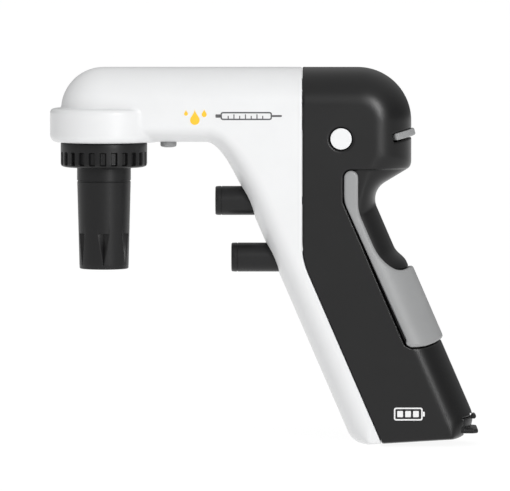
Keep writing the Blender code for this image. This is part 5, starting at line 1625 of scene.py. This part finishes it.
# ------------------------------------------------------------------ printed marks
@dataclass
class Marks:
    """Plain printed pictograms: an amber drop, a grey pipette and a white battery."""

    shop: Workshop
    side: float = 17.0
    ink: float = 0.045
    sunk: float = 0.08

    def print(self, name: str, slot: str, shapes: Sequence[tuple[list[Point], list[Point] | None]]) -> None:
        """Lay ink on the left flat side.

        Args:
            name: The piece's name.
            slot: The ink's finish.
            shapes: Outer loops, each with an inner loop of as many points or none.
        """
        body = bmesh.new()
        for outer, inner in shapes:
            loops = []
            for y in (-self.side - self.ink, -self.side + self.sunk):
                level = []
                for loop in (outer, inner):
                    if loop is not None:
                        points = self.shop.world(np.array([(x, y, z) for x, z in loop]))
                        level.append([body.verts.new(p) for p in points])
                loops.append(level)
            count = len(outer)
            for level in loops:
                if inner is None:
                    body.faces.new(level[0])
                else:
                    for i in range(count):
                        j = (i + 1) % count
                        body.faces.new((level[0][i], level[0][j], level[1][j], level[1][i]))
            for near, far in zip(*loops):
                for i in range(count):
                    j = (i + 1) % count
                    body.faces.new((near[i], near[j], far[j], far[i]))
        bmesh.ops.recalc_face_normals(body, faces=body.faces)
        mesh = bpy.data.meshes.new(name)
        body.to_mesh(mesh)
        body.free()
        obj = bpy.data.objects.new(name, mesh)
        bpy.context.scene.collection.objects.link(obj)
        self.shop.keep(obj, "housing", slot)

    @staticmethod
    def drop(centre: Point, radius: float) -> list[Point]:
        """Return a drop: a round belly drawn up to a tip.

        Args:
            centre: The middle point.
            radius: The belly's radius.

        Returns:
            The drop's outline.
        """
        belly = arc(centre, radius, 150, 390, 28)
        tip = (centre[0], centre[1] + radius * 2.25)
        right = bezier(
            belly[-1],
            shifted(belly[-1], (-0.5, 0.87), radius * 0.6),
            shifted(tip, (0.12, -1), radius * 0.7),
            tip,
            8,
        )
        left = bezier(
            tip,
            shifted(tip, (-0.12, -1), radius * 0.7),
            shifted(belly[0], (0.5, 0.87), radius * 0.6),
            belly[0],
            8,
        )
        return belly + right[1:] + left[1:-1]

    @staticmethod
    def plate(low: Point, high: Point, corner: float, turn: float = 0.0) -> list[Point]:
        """Return a rounded rectangle, turned about its middle.

        Args:
            low: One corner.
            high: The opposite corner.
            corner: The corners' radius.
            turn: The turn, in degrees.

        Returns:
            The plate's outline.
        """
        out = []
        for x, z, start in (
            (high[0], high[1], 0), (low[0], high[1], 90), (low[0], low[1], 180), (high[0], low[1], 270)
        ):
            sx, sz = (-1 if x == high[0] else 1), (-1 if z == high[1] else 1)
            out += arc((x + sx * corner, z + sz * corner), corner, start, start + 90, 5)
        middle = ((low[0] + high[0]) / 2, (low[1] + high[1]) / 2)
        c, s = math.cos(math.radians(turn)), math.sin(math.radians(turn))
        return [
            (
                middle[0] + (x - middle[0]) * c - (z - middle[1]) * s,
                middle[1] + (x - middle[0]) * s + (z - middle[1]) * c,
            )
            for x, z in out
        ]

    def build(self) -> None:
        """Print the three pictograms."""
        self.print(
            "drop_mark",
            "amber_ink",
            [
                (self.drop((38.3, 136.3), 2.0), None),
                (self.drop((42.2, 138.6), 1.05), None),
                (self.drop((34.6, 138.9), 0.8), None),
            ],
        )
        bar = self.plate((49.0, 136.3), (70.5, 139.7), 1.0), self.plate((49.6, 136.9), (69.9, 139.1), 0.5)
        ticks = [
            (self.plate((52.0 + 2.4 * i, 136.9), (52.45 + 2.4 * i, 138.7 if i % 2 else 138.1), 0.1), None)
            for i in range(7)
        ]
        tip = (self.plate((70.4, 137.6), (74.6, 138.4), 0.3), None)
        mouth = (self.plate((46.9, 137.3), (49.1, 138.7), 0.3), None)
        self.print("pipette_mark", "grey_ink", [bar, *ticks, tip, mouth])
        case = self.plate((121.5, 10.6), (133.5, 16.0), 0.9), self.plate((122.1, 11.2), (132.9, 15.4), 0.45)
        cells = [(self.plate((122.9 + 3.3 * i, 12.0), (125.3 + 3.3 * i, 14.6), 0.3), None) for i in range(3)]
        self.print(
            "battery_mark",
            "white_ink",
            [case, *cells, (self.plate((133.4, 12.3), (134.4, 14.3), 0.25), None)],
        )


# ------------------------------------------------------------------ stage
@dataclass
class Stage:
    """The pale floor, the soft lights and the camera."""

    shop: Workshop
    floor_colour: tuple[float, float, float] = (0.13, 0.13, 0.13)
    floor_glow: float = 0.92
    world_low: float = 0.10
    world_high: float = 0.80
    elevation: float = 3.2
    distance: float = 3.0
    aim: Point = (63.4, 82.95)
    field_width: float = 0.2142
    sensor: float = 36.0

    def build_floor(self) -> None:
        """Lay a wide pale floor with a faint tooth."""
        body = bmesh.new()
        bmesh.ops.create_grid(body, x_segments=8, y_segments=8, size=FLOOR_HALF)
        mesh = bpy.data.meshes.new("floor")
        body.to_mesh(mesh)
        body.free()
        floor = bpy.data.objects.new("floor", mesh)
        floor.location.z = -FLOOR_DROP
        bpy.context.scene.collection.objects.link(floor)
        paint = Finish(
            "pale_floor",
            self.floor_colour,
            0.9,
            grain_size=0.002,
            grain_depth=0.00002,
            wear=0.004,
            specular=0.0,
            glow=self.floor_glow,
        )
        floor.data.materials.append(paint.build())

    def build_light(self, name: str, place: Sequence[float], size: Point, power: float) -> None:
        """Hang one soft rectangular light, aimed at the object's middle.

        Args:
            name: The light's name.
            place: Where it hangs, in metres.
            size: Its width and height.
            power: Its power in watts.
        """
        light = bpy.data.lights.new(name, "AREA")
        light.shape = "RECTANGLE"
        light.size, light.size_y = size
        light.energy = power
        obj = bpy.data.objects.new(name, light)
        obj.location = place
        obj.rotation_euler = (
            Vector((0, 0, MIDDLE_HEIGHT)) - Vector(place)
        ).to_track_quat("-Z", "Y").to_euler()
        bpy.context.scene.collection.objects.link(obj)

    def build_camera(self) -> None:
        """Set the camera at the viewing angle, far off with a long lens."""
        camera = bpy.data.cameras.new("camera")
        camera.sensor_width = self.sensor
        camera.lens = self.sensor * self.distance / self.field_width
        camera.clip_start, camera.clip_end = 0.05, 100
        obj = bpy.data.objects.new("camera", camera)
        aim = Vector(((self.aim[0] + self.shop.nose_x) * MM, 0, (self.aim[1] + self.shop.base_z) * MM))
        lift = math.radians(self.elevation)
        obj.location = aim + Vector((0, -math.cos(lift), math.sin(lift))) * self.distance
        obj.rotation_euler = (aim - obj.location).to_track_quat("-Z", "Y").to_euler()
        bpy.context.scene.collection.objects.link(obj)
        bpy.context.scene.camera = obj

    def build(self) -> None:
        """Set the whole stage."""
        world = bpy.data.worlds.new("studio")
        world.use_nodes = True
        shader = Shader.around(world.node_tree, "Background")
        place = shader.node("ShaderNodeTexCoord", {}, {}, "Generated")
        height = shader.node("ShaderNodeSeparateXYZ", {}, {"Vector": place}, "Z")
        limits = {"From Min": 0.0, "From Max": 0.8, "To Min": self.world_low, "To Max": self.world_high}
        shader.set("Strength", shader.node("ShaderNodeMapRange", {}, {"Value": height, **limits}, "Result"))
        shader.set("Color", (1, 1, 1, 1))
        bpy.context.scene.world = world
        bpy.context.scene.view_settings.view_transform = "Standard"
        self.build_floor()
        self.build_light("key_light", (0.64, -1.33, 0.54), (0.20, 0.60), 10.0)
        self.build_light("key_softbox", (0.38, -1.38, 0.66), (1.15, 0.75), 2.0)
        self.build_light("side_light", (-1.3, -0.9, 0.9), (0.8, 0.8), 2.0)
        self.build_camera()


class Controller:
    """The whole object: every visible sub-assembly, around the frame's inner pieces."""

    def __init__(self) -> None:
        """Set up the palette, the workshop and the carving grid."""
        self.palette = Palette()
        self.shop = Workshop(self.palette)
        self.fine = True
        self.solid = Solid(Outline(), SHELL_STEP if self.fine else QUICK_SHELL_STEP)
        self.small_step = SMALL_STEP if self.fine else QUICK_SMALL_STEP

    def dress_frame(self) -> None:
        """Give every CAD node the node material of its slot in the record."""
        for part in frame["record"]["subparts"]:
            self.palette.dress(frame["nodes"][part["node"]], part["material_slot"])
            LOG.info("node %s dressed in %s", part["node"], part["material_slot"])

    def build(self) -> None:
        """Build and dress every piece."""
        self.dress_frame()
        housing = Housing(self.shop, self.solid)
        housing.build()
        Stand(self.shop, self.solid).build()
        ChargingFlap(self.shop, self.solid.outline, self.small_step).build()
        nose = Nose(self.shop)
        nose.build_collar()
        nose.build_cone()
        controls = Controls(self.shop, self.solid, self.small_step)
        for name, body, place in zip(
            ("aspirate_trigger", "dispense_trigger"), ("aspirate", "dispense"), housing.triggers
        ):
            controls.build_trigger(name, body, place)
        controls.build_mode(housing.mode_x)
        controls.build_lever(housing.lever_pivot, housing.lever_lean)
        Marks(self.shop).build()


def main() -> None:
    """Build the object and its stage, and log how many pieces were built."""
    logging.basicConfig(level=logging.INFO, format="%(message)s")
    controller = Controller()
    controller.build()
    Stage(controller.shop).build()
    LOG.info("%d pieces built", controller.shop.count)


if __name__ == "__main__":
    main()
